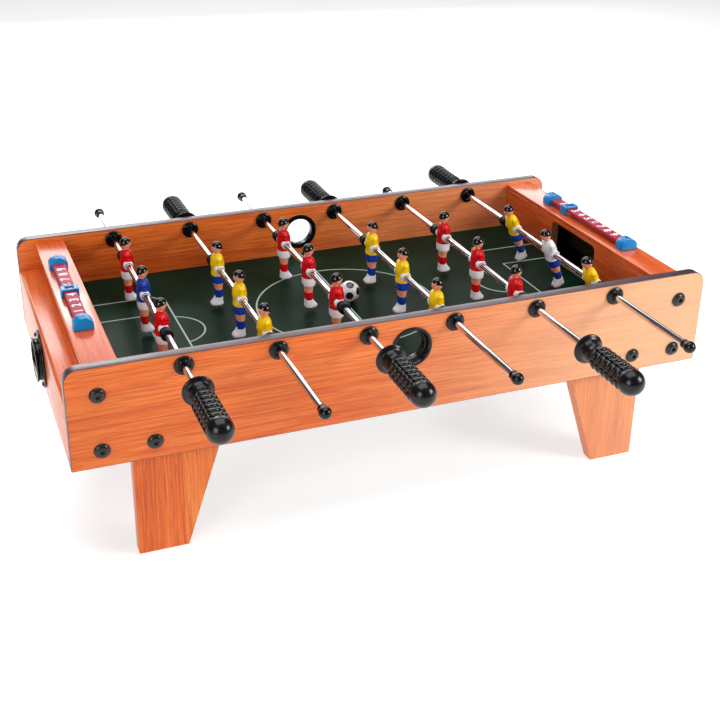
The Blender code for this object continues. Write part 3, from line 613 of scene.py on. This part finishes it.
# Painted shade: near black for the floor of the box behind the goal and the wall of the return bore.
SHADE_BLACK = moulded("painted_shade_black", (0.004, 0.004, 0.004), 0.6, 0.2, 0.0, 0.1)
RED = moulded("red_shirt", srgb(214, 10, 24), 0.24, coat=0.2)
YELLOW = moulded("yellow_shirt", srgb(252, 206, 4), 0.24, coat=0.2)
BLUE = moulded("royal_blue_kit", srgb(22, 60, 158), 0.24, coat=0.2)
WHITE = moulded("white_kit", srgb(240, 240, 246), 0.26, 0.02)
SKIN = moulded("skin_paint", srgb(252, 166, 130), 0.3, 0.05)
HAIR = moulded("black_hair_paint", JET, 0.1, 0.1, 0.3, 0.03)
SCORE_BLUE = moulded("score_blue", srgb(0, 128, 198), 0.25, 0.06, 0.1)
MAROON = moulded("maroon_bar", srgb(168, 40, 66), 0.5, 0.08, 0.0)
INK = moulded("white_numbers", srgb(250, 240, 244), 0.5, 0.02, 0.0)


# The wooden box.
def side_board(label, side):
    """A side board in cherry with a dark band round its edge, the rimmed ball entry and six bolts."""
    top, end = BOARD_TOP - CORNER, HALF_LENGTH - CORNER
    outline = np.concatenate([
        [(-HALF_LENGTH, BOARD_BOTTOM), (HALF_LENGTH, BOARD_BOTTOM)],
        arc((end, top), CORNER, 0, 90, 12),
        arc((-end, top), CORNER, 90, 180, 12),
    ])
    faces = sorted((MIDDLE_Y + side * INNER_FACE, MIDDLE_Y + side * OUTER_FACE))
    shape = plate(Shape(), outline, *faces, "xzy", ((0.0, ENTRY_Z), ENTRY_BORE), 0.0007, (0, 1, 2))
    piece(f"{label}_side_board_wood", shape, [SIDE_WOOD, BAND, FIBRE], "table", [f"{label}_side_board"])
    half, out = BOARD_THICKNESS / 2, 0.0015
    # (radius, distance from the middle of the board) round the rim's section.
    rim = [
        (ENTRY_BORE, half - 0.002), (ENTRY_BORE, half), (ENTRY_RIM, half), (ENTRY_RIM, half + out),
        (ENTRY_BORE + 0.0012, half + out + 0.0004), (ENTRY_BORE - 0.0006, half - 0.001), (ENTRY_BORE - 0.001, 0.002),
        (ENTRY_BORE - 0.0022, 0.0015), (ENTRY_BORE - 0.0022, -half - out + 0.0004), (ENTRY_BORE + 0.001, -half - out),
        (ENTRY_RIM, -half - out), (ENTRY_RIM, -half), (ENTRY_BORE, -half),
    ]
    middle = (0.0, MIDDLE_Y + side * (INNER_FACE + half), ENTRY_Z)
    ring = turned(Shape(), soften(rim, 0.0006, True), middle, (0, side, 0), 96, closed=True)
    piece(f"{label}_ball_entry_rim", ring, [BLACK], "table")
    for i, (x, z) in enumerate(bolt_places()):
        head = bolt_head((x, MIDDLE_Y + side * OUTER_FACE, z), (0, side, 0))
        piece(f"{label}_bolt_{i + 1}", head, [BOLT], "table")


def bolt_places():
    """(x, z) of the three bolts at each end of a side board."""
    x, low, high = HALF_LENGTH - BOLT_END_INSET, BOARD_BOTTOM + BOLT_LOW, BOARD_BOTTOM + BOLT_HIGH
    near = ((x, high), (x, low), (x - BOLT_SPACING, low))
    return [(sign * x, z) for sign in (-1, 1) for x, z in near]


def bolt_head(origin, axis):
    """A button head with a hexagon socket: the rings' radius goes from round to six-sided towards the middle."""
    around, socket_radius, fade = 48, 0.0028, 0.0003
    profile = [
        (0.0, 0.0013), (0.0022, 0.0013), (0.0024, 0.0034), (0.0030, 0.0037), (0.0046, 0.0035), (0.0062, 0.0027),
        (0.0075, 0.0014), (0.0080, 0.0004), (0.0080, -GAP), (0.0, -GAP),
    ]
    shape = turned(Shape(), soften(profile, 0.0003), origin, axis, around)
    flat = shape.points[0].reshape(-1, around, 3) - np.asarray(origin)
    along = (flat @ np.asarray(axis, float))[..., None] * np.asarray(axis)
    radius = np.linalg.norm(flat - along, axis=-1, keepdims=True)
    t = (np.arange(around) / around * 2 * math.pi)[None, :, None]
    hexagon = math.cos(math.pi / 6) / np.cos((t % (math.pi / 3)) - math.pi / 6)
    share = np.clip((socket_radius - radius) / fade, 0, 1)
    shape.points[0] = (np.asarray(origin) + along + (flat - along) * (1 + share * (hexagon - 1))).reshape(-1, 3)
    return shape


def goal_end(label, end):
    """The goal panel with its shelf, and the wall, ledge, riser and floor behind them."""
    half = INNER_FACE - GAP
    y0, y1 = MIDDLE_Y - half, MIDDLE_Y + half
    under_shelf = SHELF_TOP - SHELF_THICKNESS
    panel = np.array([(y0, BOARD_BOTTOM), (y1, BOARD_BOTTOM), (y1, under_shelf), (y0, under_shelf)])
    goal = round_box((MIDDLE_Y - GOAL_HALF, PITCH_TOP), (MIDDLE_Y + GOAL_HALF, GOAL_TOP), GOAL_CORNER)
    depths = sorted((end * PANEL_IN, end * (PANEL_IN + PANEL_THICKNESS)))
    middle = (MIDDLE_Y, (PITCH_TOP + GOAL_TOP) / 2)
    shape = plate(Shape(), panel, *depths, "yzx", (middle, goal), 0.0003, (0, 0, 1))
    shelf = round_box((PANEL_IN, under_shelf), (SHELF_OUT, SHELF_TOP), 0.0009, 4) * (end, 1)
    plate(shape, shelf[::end], y0, y1, "xzy", None, 0.0003, (0, 0, 0))
    piece(f"{label}_goal_panel_wood", shape, [END_WOOD, FIBRE], "table", [f"{label}_goal_panel"])
    round_z = LEDGE_TOP - LEDGE_ROUNDING
    wall = np.array([(y0, BOARD_BOTTOM), (y1, BOARD_BOTTOM), (y1, round_z), (y0, round_z)])
    depths = sorted((end * WALL_INNER, end * HALF_LENGTH))
    # Painted shade: the wall of the return bore is near black.
    shape = plate(Shape(), wall, *depths, "yzx", ((MIDDLE_Y, RETURN_Z), RETURN_BORE + 0.0028), 0.0001, (0, 0, 1))
    riser_in, seat_z = RISER_OUT - RISER_THICKNESS, round_z - 0.0001
    ledge_bottom, riser_top = LEDGE_TOP - LEDGE_THICKNESS, under_shelf - GAP
    section = np.concatenate([
        [(HALF_LENGTH, seat_z)], arc((HALF_LENGTH - LEDGE_ROUNDING, round_z), LEDGE_ROUNDING, 0, 90, 8),
        [(RISER_OUT, LEDGE_TOP), (RISER_OUT, riser_top), (riser_in, riser_top),
         (riser_in, ledge_bottom), (WALL_INNER, ledge_bottom), (WALL_INNER, seat_z)],
    ]) * (end, 1)
    plate(shape, section[::end], y0, y1, "xzy", None, 0.0001)
    floor_in, floor_bottom = PANEL_IN + PANEL_THICKNESS + GAP, FLOOR_TOP - FLOOR_THICKNESS
    floor = [(floor_in, floor_bottom), (WALL_INNER, floor_bottom), (WALL_INNER, FLOOR_TOP), (floor_in, FLOOR_TOP)]
    floor = np.array(floor) * (end, 1)
    # Painted shade: the floor behind the goal is near black.
    plate(shape, floor[::end], y0, y1, "xzy", None, 0.0001, (1, 1, 1))
    piece(f"{label}_end_wall_wood", shape, [WALL_WOOD, SHADE_BLACK], "table", [f"{label}_end_box"])


def ball_return(label, end):
    """The black ball return: a thin flange, a tube with a rolled rim, a lip across its foot and four screws."""
    bore, tube, flange, deep = RETURN_BORE, RETURN_BORE + 0.0025, RETURN_FLANGE, BOARD_THICKNESS
    profile = [
        (bore, 0.0083), (tube + 0.0016, 0.0083), (tube + 0.0016, 0.0064), (tube, 0.0060), (tube, 0.0032),
        (tube + 0.0008, 0.0026), (flange, 0.0024), (flange, GAP), (tube, GAP), (tube, -deep), (bore, -deep),
    ]
    origin, axis = np.array((end * HALF_LENGTH, MIDDLE_Y, RETURN_Z)), (end, 0, 0)
    shape = turned(Shape(), soften(profile, 0.0008, True), origin, axis, 80, closed=True)
    lip_radius = bore + 0.0008
    t = math.degrees(math.acos(RETURN_LIP_DROP / lip_radius))
    lip = arc((0.0, 0.0), lip_radius, -90 - t, -90 + t, 24) + (MIDDLE_Y, RETURN_Z)
    depths = sorted((end * (HALF_LENGTH + 0.0058), end * (HALF_LENGTH + 0.0080)))
    plate(shape, lip, *depths, "yzx", None, 0.0005)
    piece(f"{label}_ball_return_cup_plastic", shape, [BLACK], "table", [f"{label}_ball_return_cup"])
    head = [
        (0.0, 0.0036), (0.0007, 0.0036), (0.0010, 0.0042), (0.0020, 0.0038), (0.0026, 0.0028), (0.0026, 0.0022),
        (0.0, 0.0022),
    ]
    for i, angle in enumerate((35, 145, 215, 325)):
        a = math.radians(angle)
        spot = origin + 0.0268 * np.array((0.0, math.sin(a), -math.cos(a)))
        screw = turned(Shape(), soften(head, 0.0003), spot, axis, 20)
        piece(f"{label}_return_screw_{i + 1}", screw, [BOLT], "table")


def leg(name, x_sign):
    """A tapering leg board with eased edges."""
    low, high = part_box(name)
    outer = low.x if x_sign < 0 else high.x
    top, foot = outer - x_sign * LEG_TOP_WIDTH, outer - x_sign * LEG_FOOT_WIDTH
    edge = np.array([(outer, 0.0), (outer, high.z), (top, high.z), (foot, 0.0)])
    shape = plate(Shape(), edge[::x_sign], low.y, high.y, "xzy", None, 0.0007)
    piece(f"{name}_wood", shape, [LEG_WOOD], "table", [name])


# Rods, handles and bushings.
def rod(k):
    """The chromed rod, its ball cap and the two rubber stops, on the sliding body."""
    x, y, z = JOINTS[f"rod_{k}_spin"]["pos_m"]
    side = -1 if k % 2 else 1
    body, origin, axis = f"rod_{k}_slide_body", np.array((x, y, z)), np.array((0.0, -side, 0.0))
    low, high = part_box(f"rod_{k}")
    cap_end = abs((high.y if side < 0 else low.y) - y)
    socket_end = abs((low.y if side < 0 else high.y) - y)
    cap = cap_end - CAP_RADIUS
    shaft = [(0.0, cap), (ROD_RADIUS, cap), (ROD_RADIUS, -socket_end), (0.0, -socket_end)]
    steel = turned(Shape(), soften(shaft, 0.0006), origin, axis, 32)
    piece(f"rod_{k}_steel", steel, [CHROME], body, [f"rod_{k}"])
    t = np.radians(np.linspace(90, -38, 16))
    knob = np.stack([CAP_RADIUS * np.cos(t), cap + CAP_RADIUS * np.sin(t)], 1)
    neck = [(0.0046, 0.0112), (0.0047, 0.0145), (0.0042, 0.0152), (0.0036, 0.0152)]
    neck = [(radius, cap_end - drop) for radius, drop in neck]
    knob = turned(Shape(), np.concatenate([knob, neck]), origin, axis, 36)
    piece(f"rod_{k}_cap", knob, [BLACK], body)
    shape = Shape()
    bore, wide, groove = ROD_RADIUS + 0.0001, STOP_RADIUS, STOP_RADIUS - 0.0007
    for sign in (-1, 1):
        out, inn = sign * STOP_OUTER, sign * (STOP_OUTER - STOP_LENGTH)
        mid, edge = (out + inn) / 2, sign * 0.001
        stop = [(bore, inn), (wide, inn), (wide, mid - edge), (groove, mid), (wide, mid + edge)]
        stop += [(wide, out), (bore, out)]
        turned(shape, soften(stop, 0.0008, True), origin, axis, 32, closed=True)
    piece(f"rod_{k}_stops", shape, [RUBBER], body)


def handle(k):
    """A grip with a thin dished collar, a waisted neck, six lobes of bowed ribs and a smooth round end.
    The radius is the turned outline, less a round groove between lobes, plus a rib that swells towards the round
    end and drops. The ribs' edges bow along the grip with the square of the place across the lobe."""
    name = f"rod_{k}_handle"
    side = -1 if k % 2 else 1
    x, y, z = JOINTS[f"rod_{k}_spin"]["pos_m"]
    low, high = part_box(name)
    start, end = (high.y, low.y) if side < 0 else (low.y, high.y)
    dome = abs(end - start) - GRIP_RADIUS
    around, lobes, pitch, first, neck_end = 168, 6, 0.0082, 0.0185, 0.0160
    h = np.linspace(neck_end, dome, 170)
    theta = np.arange(around) / around * 2 * math.pi
    across = (theta * lobes / (2 * math.pi)) % 1.0 * 2 - 1
    lobe = np.clip((1 - abs(across)) / 0.3, 0, 1)
    lobe = np.sqrt(1 - (1 - lobe) ** 2)
    places = [neck_end, 0.0195, 0.05, dome - 0.006, dome - 0.002, dome]
    outline = np.interp(h, places, [0.0098, 0.0109, 0.0111, 0.0113, 0.0126, GRIP_RADIUS])
    zone = np.clip((h - 0.0175) / 0.002, 0, 1) * np.clip((dome - 0.0042 - h) / 0.003, 0, 1)
    step = ((h[:, None] - first) / pitch + 0.36 * across**2) % 1.0
    rib = np.where(step < 0.8, step / 0.8, (1 - step) / 0.2)
    rib = rib * rib * (3 - 2 * rib)
    radius = outline[:, None] + zone[:, None] * (0.0015 * rib * lobe - 0.0013 * (1 - lobe))
    t = np.linspace(0, math.pi / 2, 14)[1:]
    ball = np.stack([GRIP_RADIUS * np.cos(t), dome + GRIP_RADIUS * np.sin(t)], 1)
    collar = [
        (0.0, 0.0603), (0.0038, 0.0603), (0.0038, 0.0005), (0.0120, 0.0), (0.0153, 0.0), (0.0153, 0.0014),
        (0.0140, 0.0022), (0.0112, 0.0036), (0.0098, 0.0070), (0.0094, 0.0110), (0.0096, 0.0155),
    ]
    collar = soften(collar, 0.0006, steps=4)
    rings = [np.repeat(collar[:, :1], around, 1), radius, np.repeat(ball[:, :1], around, 1)]
    heights = np.concatenate([collar[:, 1], h, ball[:, 1]])
    r = np.concatenate(rings)
    along = np.broadcast_to((start + side * heights)[:, None], r.shape)
    points = np.stack([x + r * np.cos(theta), along, z + r * np.sin(theta)], -1)
    piece(f"rod_{k}_grip", Shape().grid(points), [GRIP], f"rod_{k}_spin_body", [name], 40)


def bushing(k, label, side):
    """A glossy black bearing: a domed flange outside with a recess round the rod, and a flange inside."""
    x, _, z = JOINTS[f"rod_{k}_spin"]["pos_m"]
    bore = ROD_RADIUS + 0.00025
    # (radius, height off the board's outer face), then the same for its inner face.
    outside = [
        (bore, 0.0012), (0.0052, 0.0014), (0.0058, 0.0032), (0.0076, 0.0033), (0.0096, 0.0022), (0.0100, GAP),
        (0.0075, GAP),
    ]
    inside = [
        (0.0075, GAP), (0.0100, GAP), (0.0098, 0.0024), (0.0080, 0.0033), (0.0056, 0.0033), (0.0050, 0.002),
        (bore, 0.0018),
    ]
    profile = [(r, OUTER_FACE + h) for r, h in outside] + [(r, INNER_FACE - h) for r, h in inside]
    shape = turned(Shape(), soften(profile, 0.0006, True), (x, MIDDLE_Y, z), (0, side, 0), 48, closed=True)
    piece(f"bushing_{k}_{label}_plastic", shape, [BLACK], "table", [f"bushing_{k}_{label}"])


# Players, in millimetres from the rod's axis, facing +x.
MILLIMETRES = Matrix.Diagonal((0.001, 0.001, 0.001, 1))


def figure():
    """One player. Finishes: 0 shirt, 1 shorts, 2 skin, 3 socks, 4 shoes, 5 hair and eyes, 6 the white hands and
    boss round the rod."""
    s = Shape()
    socks = [(-37.0, 4.6, 4.9, 0, 0), (-32, 4.8, 5.5, 0, 0), (-26.3, 5.0, 6.0, -0.2, 0)]
    limb(s, socks, 3, 8, cleft=0.35)
    legs = [(-26.6, 4.6, 5.6, -0.1, 0), (-23, 5.0, 6.1, 0, 0), (-19, 5.8, 7.0, 0, 0), (-14, 6.0, 7.4, 0, 0)]
    limb(s, legs, 2, 9, cleft=0.3)
    shorts = [(-17.2, 7.2, 8.9, 0, 0), (-15, 7.4, 9.1, 0, 0), (-9, 7.3, 8.7, 0, 0), (-4, 6.6, 8.0, 0, 0)]
    limb(s, shorts, 1, 9, power=2.3, cleft=0.12)
    torso = [
        (-8.2, 7.5, 9.1, 0, 0), (-6.5, 7.4, 9.0, 0, 0), (-3, 7.1, 8.3, 0, 0), (0, 7.3, 7.9, 0, 0),
        (4, 7.8, 8.1, 0.2, 0), (8, 7.2, 8.5, 0.3, 0), (12, 6.2, 8.4, 0.1, 0), (14.4, 5.0, 7.2, -0.1, 0),
        (15.8, 3.6, 4.4, -0.2, 0),
    ]
    limb(s, torso, 0, 26, power=2.3)
    for sign in (-1, 1):
        arm = [
            (-2.2, 2.3, 1.9, 1.4, sign * 8.6), (0, 2.6, 2.1, 0.9, sign * 9.1), (4, 3.1, 2.4, 0.3, sign * 9.5),
            (9, 3.0, 2.5, -0.1, sign * 8.8), (13.6, 2.7, 2.5, -0.2, sign * 7.9), (14.9, 1.2, 1.2, -0.2, sign * 7.0),
        ]
        limb(s, arm, 0, 18, 16)
        egg(s, (2.0, sign * 8.3, -3.8), (2.4, 2.0, 2.6), 6, 8, 12)
        t = np.linspace(0, math.pi * 2, 28, endpoint=False)
        rows = [(3.9, 6.5), (5.4, 6.5), (5.4, 11.3), (4.9, 12.0), (3.9, 12.0)]
        points = [[(r * math.cos(a), sign * w, r * math.sin(a)) for a in t] for r, w in rows]
        s.grid(points, 6, closed=True)
    shoes = [
        (-45, 7.2, 5.2, 2.2, 0), (-44.2, 7.6, 5.6, 2.3, 0), (-42, 7.4, 5.6, 2.2, 0), (-39.6, 6.2, 5.3, 1.3, 0),
        (-37, 5.2, 5.1, 0.3, 0), (-35.8, 4.9, 5.0, 0.1, 0),
    ]
    limb(s, shoes, 4, 14, 36, power=2.6, cleft=0.22)
    limb(s, [(13.5, 2.8, 3.1, -0.4, 0), (16, 2.9, 3.1, -0.4, 0), (19.5, 3.2, 3.2, -0.2, 0)], 2, 6, 20)
    limb(s, [(15.2, 4.2, 4.9, 0.1, 0), (15.9, 3.8, 4.3, 0.0, 0), (16.6, 3.3, 3.7, -0.1, 0)], 0, 5, 24)

    def features(y, z):
        nose = 1.0 * np.exp(-((y / 1.0) ** 2) - ((z + 1.4) / 1.3) ** 2)
        brow = 0.4 * np.exp(-(((z - 0.8) / 0.7) ** 2)) * np.exp(-((y / 3.6) ** 4))
        chin = 0.5 * np.exp(-((y / 1.8) ** 2) - ((z + 5.4) / 1.2) ** 2)
        sockets = 0.4 * (np.exp(-(((abs(y) - 2.0) / 1.1) ** 2) - ((z + 0.4) / 0.7) ** 2))
        return nose + brow + chin - sockets

    middle, radii = np.array((0.0, 0.0, 23.1)), np.array((5.8, 5.4, 6.7))
    egg(s, middle, radii, 2, 26, 36, features)
    for sign in (-1, 1):
        egg(s, (-0.3, sign * 5.5, 22.4), (1.2, 0.7, 1.6), 2, 6, 10)
        egg(s, (5.15, sign * 2.0, 22.8), (0.45, 0.7, 0.45), 5, 6, 10)
    t = np.arange(36) / 36 * 2 * math.pi
    brim = math.radians(64) + math.radians(38) * (0.5 - 0.5 * np.cos(t)) ** 0.8
    v = np.linspace(0, 1, 12)[:, None]

    def shell(grow, share):
        p = brim * share
        unit = np.stack([np.sin(p) * np.cos(t), np.sin(p) * np.sin(t), np.cos(p)], -1)
        return unit * (radii + (grow, grow, grow * 0.8)) + middle

    s.grid(np.concatenate([shell(0.7, v), shell(0.2, v[::-1])]), 5)
    return s


KITS = {
    "red": (RED, WHITE, SKIN, RED, WHITE, HAIR, WHITE),
    "blue": (BLUE, WHITE, SKIN, RED, WHITE, HAIR, WHITE),
    "yellow": (YELLOW, BLUE, SKIN, BLUE, WHITE, HAIR, WHITE),
    "white": (WHITE, BLUE, SKIN, BLUE, WHITE, HAIR, WHITE),
}


def players(k, pattern):
    """Three players on a rod. The figure, drawn in millimetres, is turned to face the other team's goal and
    tipped about the rod."""
    x, _, z = JOINTS[f"rod_{k}_spin"]["pos_m"]
    facing = Matrix.Rotation(0.0 if k % 2 else math.pi, 4, "Z")
    tip = Matrix.Rotation(-math.radians(TILTS.get(k, 0.0)), 4, "Y")
    for spot in ("back", "middle", "front"):
        name = f"rod_{k}_player_{spot}"
        low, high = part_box(name)
        kit, slot = ("red", "red_plastic") if k % 2 else ("yellow", "yellow_plastic")
        if spot == "middle" and k in (1, 6):
            kit, slot = ("blue", "blue_keeper_plastic") if k == 1 else ("white", "white_keeper_plastic")
        place = Matrix.Translation((x, (low.y + high.y) / 2, z)) @ tip @ facing @ MILLIMETRES
        piece(f"{name}_painted", pattern.moved(place), KITS[kit], f"rod_{k}_spin_body", [name], 50)


# Score counters.
def number(text, size, turn, middle, height):
    """A digit as a thin mesh, standing on the bar."""
    curve = bpy.data.curves.new("digit", "FONT")
    curve.body, curve.size, curve.extrude = text, size, 0.00015
    curve.align_x, curve.align_y, curve.offset = "CENTER", "CENTER", 0.0003
    source = bpy.data.objects.new("digit", curve)
    bpy.context.scene.collection.objects.link(source)
    mesh = bpy.data.meshes.new_from_object(source.evaluated_get(bpy.context.evaluated_depsgraph_get()))
    bpy.data.objects.remove(source)
    points = np.empty(len(mesh.vertices) * 3)
    mesh.vertices.foreach_get("co", points)
    points = points.reshape(-1, 3)
    points[:, :2] -= (points[:, :2].max(0) + points[:, :2].min(0)) / 2
    c, s = math.cos(turn), math.sin(turn)
    points = points @ np.array([(c, s, 0), (-s, c, 0), (0, 0, 1)]) + (*middle, height)
    shape = Shape()
    shape.points, shape.count = [points], len(points)
    shape.faces = [list(p.vertices) for p in mesh.polygons]
    shape.finish = [0] * len(shape.faces)
    return shape


def score_counter(label, end):
    """A maroon bar numbered 1 to 9 between two arched blue blocks, and the windowed slider on it."""
    low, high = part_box(f"{label}_score_rail")
    x, base = (low.x + high.x) / 2, low.z
    half, bar_top = COUNTER_HALF, base + 0.0075
    bar = round_box((x - 0.00675, base + 0.0035), (x + 0.00675, bar_top), 0.0008, 4)
    shape = plate(Shape(), bar, MIDDLE_Y - half, MIDDLE_Y + half, "xzy", None, 0.0003)
    tall, wide = BLOCK_HEIGHT, BLOCK_HALF_WIDTH
    rise = tall / 2
    radius = (wide**2 + rise**2) / (2 * rise)
    sweep = math.degrees(math.asin(wide / radius))
    arch = arc((x, base + tall - radius), radius, 90 - sweep, 90 + sweep, 20)
    block = np.concatenate([[(x - wide, base), (x + wide, base)], arch])
    blocks = Shape()
    for side in (-1, 1):
        y = MIDDLE_Y + side * half
        plate(blocks, block, y - 0.007, y + 0.007, "xzy", None, 0.0009)
        head = [(0.0, 0.0002), (0.0014, 0.0002), (0.0018, 0.0004), (0.0018, -0.0006), (0.0, -0.0006)]
        screw = turned(Shape(), soften(head, 0.0002), (x, y, base + tall), (0, 0, 1), 20)
        piece(f"{label}_score_screw_{side + 2}", screw, [BOLT], "table")
    piece(f"{label}_score_bar", shape, [MAROON], "table", [f"{label}_score_rail"])
    piece(f"{label}_score_blocks", blocks, [SCORE_BLUE], "table")
    digits = Shape()
    for i in range(9):
        y = MIDDLE_Y - end * (i - 4) * COUNTER_PITCH
        digits.join(number(str(i + 1), 0.0130, end * -math.pi / 2, (x, y), bar_top + 0.0001))
    piece(f"{label}_score_numbers", digits, [INK], "table")
    low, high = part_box(f"{label}_score_slider")
    y = (low.y + high.y) / 2
    slider, thick = Shape(), 0.0021
    outer = round_box((low.x, low.y), (high.x, high.y), 0.0016)
    window = round_box((x - 0.005, y - 0.00375), (x + 0.005, y + 0.00375), 0.001)
    plate(slider, outer, high.z - thick, high.z, "xyz", ((x, y), window), 0.0008)
    for side in (-1, 1):
        a, b = sorted((x + side * (high.x - x), x + side * (high.x - x - thick)))
        cheek = round_box((a, low.y + 0.0002), (b, high.y - 0.0002), 0.0008)
        plate(slider, cheek, low.z, high.z - 0.001, "xyz", None, 0.0003)
    body, node = f"{label}_score_marker", f"{label}_score_slider"
    piece(f"{label}_score_marker_frame", slider, [SCORE_BLUE], body, [node])


for label, side in (("front", -1), ("back", 1)):
    side_board(label, side)
    for end_label, x_sign in (("left", -1), ("right", 1)):
        leg(f"leg_{label}_{end_label}", x_sign)
for label, end in (("left", -1), ("right", 1)):
    goal_end(label, end)
    ball_return(label, end)
    score_counter(label, end)
frame["nodes"]["playfield"].data.materials.clear()
frame["nodes"]["playfield"].data.materials.append(PITCH)
PATTERN = figure()
for k in range(1, 7):
    rod(k)
    handle(k)
    players(k, PATTERN)
    bushing(k, "front", -1)
    bushing(k, "back", 1)
low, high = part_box("ball")
BALL_MIDDLE, BALL_RADIUS = tuple((low + high) / 2), (high.z - low.z) / 2
ball = egg(Shape(), BALL_MIDDLE, (BALL_RADIUS,) * 3, 0, 48, 72)
piece("ball_printed", ball, [ball_panels(BALL_MIDDLE)], "ball", ["ball"], 60)


# Camera, floor and light.
def set_camera():
    """A camera at eye height beyond the red team's corner, looking down across the pitch."""
    data = bpy.data.cameras.new("camera")
    data.lens, data.sensor_width = 58.49, 36.0
    data.shift_x, data.shift_y = 0.0648, -0.0820
    data.clip_start, data.clip_end = 0.05, 50.0
    camera = bpy.data.objects.new("camera", data)
    turn = Matrix.Rotation(-0.3418, 3, "Z") @ Matrix.Rotation(-0.4236, 3, "X") @ Matrix.Rotation(0.0028, 3, "Y")
    right, forward, up = turn.col
    place = (-0.44398, -1.13384 + MIDDLE_Y, 0.71275)
    camera.matrix_world = Matrix.LocRotScale(place, Matrix((right, up, -forward)).transposed(), None)
    bpy.context.scene.collection.objects.link(camera)
    bpy.context.scene.camera = camera


def area_light(name, place, aim, size, power, color=(1.0, 1.0, 1.0)):
    """A rectangular soft light, in watts, turned to face a point."""
    data = bpy.data.lights.new(name, "AREA")
    data.shape, data.size, data.size_y = "RECTANGLE", *size
    data.energy, data.color = power, color
    light = bpy.data.objects.new(name, data)
    facing = (Vector(aim) - Vector(place)).to_track_quat("-Z", "Y")
    light.matrix_world = Matrix.LocRotScale(place, facing, None)
    light.visible_camera = False
    bpy.context.scene.collection.objects.link(light)


def studio():
    """A pale floor that glows faintly, a dim surround and six soft lights."""
    mesh = bpy.data.meshes.new("studio_floor")
    mesh.from_pydata([(-6, -6, 0), (6, -6, 0), (6, 8, 0), (-6, 8, 0)], [], [(0, 1, 2, 3)])
    p = Paint("pale_floor", Specular_IOR_Level=0.4, Emission_Color=(1.0, 1.0, 1.0), Emission_Strength=0.66)
    haze = p.noise(p.place, 3.0, 2.0, 0.5)
    pale = p.mix(haze, (0.60, 0.60, 0.60), (0.62, 0.62, 0.62))
    mesh.materials.append(p.done(Base_Color=pale, Roughness=haze.between(0.3, 0.7, 0.3, 0.36)))
    floor = bpy.data.objects.new("studio_floor", mesh)
    bpy.context.scene.collection.objects.link(floor)
    world = bpy.data.worlds.new("dim_surround")
    world.use_nodes = True
    background = world.node_tree.nodes["Background"]
    background.inputs["Color"].default_value = (1.0, 1.0, 1.0, 1.0)
    background.inputs["Strength"].default_value = 0.1
    bpy.context.scene.world = world
    area_light("key_softbox", (1.0, -0.85, 0.75), (0.3, 0.0, 0.15), (0.5, 0.5), 12.0, (1.0, 0.99, 0.96))
    area_light("top_softbox", (0.0, 0.1, 2.2), (0.0, 0.05, 0.15), (2.2, 1.8), 36.0)
    area_light("left_softbox", (-1.7, -1.5, 1.0), (-0.2, 0.0, 0.15), (1.0, 1.2), 20.0)
    area_light("back_softbox", (0.4, 2.5, 0.75), (0.0, 0.0, 0.15), (2.6, 1.0), 18.0)
    area_light("shelf_softbox", (-0.1, 2.5, 1.48), (-0.1, 0.0, 0.2), (0.7, 0.5), 7.0)
    area_light("rod_softbox", (0.5, 2.5, 2.2), (0.0, 0.0, 0.2), (3.0, 1.1), 20.0)
    bpy.context.scene.view_settings.view_transform = "Standard"


set_camera()
studio()
